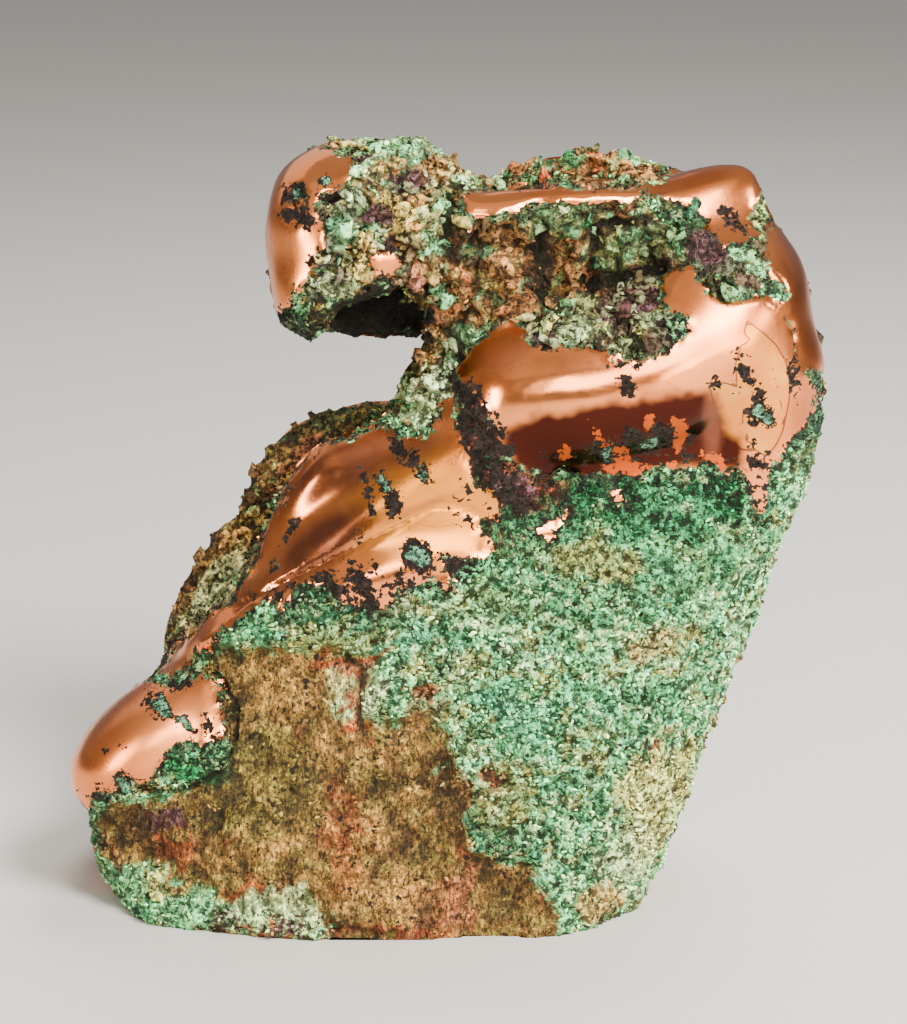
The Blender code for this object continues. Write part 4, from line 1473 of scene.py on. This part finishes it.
def nodule_material():
    """Round nodules, each of one mineral, pitted and dusty."""
    material = bpy.data.materials.new("crust_nodule")
    material.use_nodes = True
    t = material.node_tree
    shader = t.nodes["Principled BSDF"]
    tone = attribute(t, "tone")
    place = node(t, "ShaderNodeTexCoord").outputs["Object"]
    grit = noise_node(t, place, 700, 5.0, 0.75)
    tint = two_tone(t, tone, 0.44)
    lift = ramp(t, tone, ((0.0, (0.42, 0.41, 0.44)), (0.44, (1.55, 1.50, 1.60)), (0.46, (0.42, 0.41, 0.44)),
                          (1.0, (1.75, 1.70, 1.80))))
    tint = multiplied(t, tint, lift)
    dusty = ramp(t, grit, (
        (0.42, (0.05, 0.045, 0.045)), (0.48, (0.8, 0.8, 0.78)), (0.60, (1.75, 1.75, 1.7))))
    t.links.new(multiplied(t, tint, dusty), shader.inputs["Base Color"])
    shader.inputs["Roughness"].default_value = 0.6
    shader.inputs["Specular IOR Level"].default_value = 0.25
    t.links.new(bump_node(t, grit, 1.0, 1.4 * MM), shader.inputs["Normal"])
    return material


def cuprite_material():
    """Near black cuprite crystals with a purple glint."""
    material = bpy.data.materials.new("cuprite_crystal")
    material.use_nodes = True
    t = material.node_tree
    shader = t.nodes["Principled BSDF"]
    colour = ramp(t, attribute(t, "tone"), ((0.0, (0.001, 0.001, 0.001)), (0.8, (0.005, 0.003, 0.003)),
                                            (1.0, (0.025, 0.016, 0.014))))
    t.links.new(colour, shader.inputs["Base Color"])
    shader.inputs["Roughness"].default_value = 0.5
    shader.inputs["Specular IOR Level"].default_value = 0.1
    return material


class NUGGET_OT_grains(bpy.types.Operator):
    """Sow the malachite grains and cuprite crystals over the crust"""

    bl_idname = "nugget.grains"
    bl_label = "Malachite and cuprite grains"

    def execute(self, context):
        settings = context.scene.nugget_grains
        malachite = grain_material()
        kinds = (
            ("malachite_front", "druse_front", settings.size, 0.62, 0, malachite, False),
            ("malachite_back", "druse_back", settings.size * 1.25, 1.12, 1, malachite, False),
            ("crust_nodules", "lumps", settings.nodule, 0.5, 3, nodule_material(), True),
            ("cuprite_crystals", "cuprite", settings.size * 0.6, 4 / 3, 2, cuprite_material(), False),
        )
        for name, where, size, apart, draw, material, rounded in kinds:
            sown_piece(name, where, size, size * apart, settings.seed + draw, material, rounded)
        return {"FINISHED"}


def make_floor(colour):
    """A wide pale paper floor."""
    x = y = FLOOR_REACH
    mesh = bpy.data.meshes.new("floor")
    mesh.from_pydata([(-x, -y, 0), (x, -y, 0), (x, y, 0), (-x, y, 0)], [], [(0, 1, 2, 3)])
    floor = bpy.data.objects.new("floor", mesh)
    bpy.context.scene.collection.objects.link(floor)
    material = bpy.data.materials.new("floor_paper")
    material.use_nodes = True
    paper = material.node_tree.nodes["Principled BSDF"]
    paper.inputs["Base Color"].default_value = (*colour, 1.0)
    paper.inputs["Roughness"].default_value = 0.75
    mesh.materials.append(material)


def make_air(strength):
    """Studio air that is brighter overhead than low down."""
    world = bpy.data.worlds.new("studio_air")
    world.use_nodes = True
    air = world.node_tree
    split = node(air, "ShaderNodeSeparateXYZ")
    air.links.new(node(air, "ShaderNodeTexCoord").outputs["Generated"], split.inputs[0])
    air.links.new(ramp(air, split.outputs[2], AIR_STOPS), air.nodes["Background"].inputs[0])
    air.nodes["Background"].inputs[1].default_value = strength
    bpy.context.scene.world = world


def aimed(name, data, place):
    """An object at the place that looks at the view's target."""
    holder = bpy.data.objects.new(name, data)
    bpy.context.scene.collection.objects.link(holder)
    holder.location = place
    holder.rotation_mode = "QUATERNION"
    holder.rotation_quaternion = (VIEW_TARGET - holder.location).to_track_quat("-Z", "Y")
    return holder


def make_lamps(key):
    for name, (place, (width, height), share, colour, lit, mirrored) in LAMPS.items():
        lamp = bpy.data.lights.new(name, "AREA")
        lamp.shape = "RECTANGLE"
        lamp.size, lamp.size_y = width, height
        lamp.energy = key * share
        lamp.color = colour
        holder = aimed(name, lamp, place)
        holder.visible_camera = False
        holder.visible_diffuse, holder.visible_glossy = lit, mirrored


def make_camera():
    camera = bpy.data.cameras.new("camera")
    camera.sensor_width = VIEW_SENSOR
    camera.lens = VIEW_SENSOR * VIEW_FOCAL / FRAME_HEIGHT
    camera.clip_start, camera.clip_end = CLIP_NEAR, CLIP_FAR
    bpy.context.scene.camera = aimed("camera", camera, eye_point())


class NUGGET_OT_stage(bpy.types.Operator):
    """Make the floor, the lamps and the camera"""

    bl_idname = "nugget.stage"
    bl_label = "Stage"

    def execute(self, context):
        settings = context.scene.nugget_stage
        make_floor(settings.floor)
        make_air(settings.air)
        make_lamps(settings.key)
        make_camera()
        return {"FINISHED"}


class NUGGET_PT_panel(bpy.types.Panel):
    """Sizes, colours and steps of the nugget"""

    bl_idname = "NUGGET_PT_panel"
    bl_label = "Copper nugget"
    bl_space_type = "VIEW_3D"
    bl_region_type = "UI"
    bl_category = "Nugget"

    def draw(self, context):
        layout = self.layout
        for group, operators in STEPS:
            settings = getattr(context.scene, group)
            box = layout.box()
            for name in settings.bl_rna.properties.keys():
                if name not in ("rna_type", "name"):
                    box.prop(settings, name)
            for operator in operators:
                box.operator(operator)


STEPS = (
    ("nugget_skin", ("nugget.skin",)),
    ("nugget_grains", ("nugget.grains",)),
    ("nugget_stage", ("nugget.stage",)),
)
CLASSES = (
    NuggetSkinSettings, NuggetGrainSettings, NuggetStageSettings, NUGGET_OT_skin,
    NUGGET_OT_grains, NUGGET_OT_stage, NUGGET_PT_panel,
)


def register():
    for cls in CLASSES:
        bpy.utils.register_class(cls)
    bpy.types.Scene.nugget_skin = bpy.props.PointerProperty(type=NuggetSkinSettings)
    bpy.types.Scene.nugget_grains = bpy.props.PointerProperty(type=NuggetGrainSettings)
    bpy.types.Scene.nugget_stage = bpy.props.PointerProperty(type=NuggetStageSettings)


def unregister():
    del bpy.types.Scene.nugget_stage
    del bpy.types.Scene.nugget_grains
    del bpy.types.Scene.nugget_skin
    for cls in reversed(CLASSES):
        bpy.utils.unregister_class(cls)


def main():
    register()
    bpy.ops.nugget.skin()
    bpy.ops.nugget.grains()
    bpy.ops.nugget.stage()


if __name__ == "__main__":
    main()
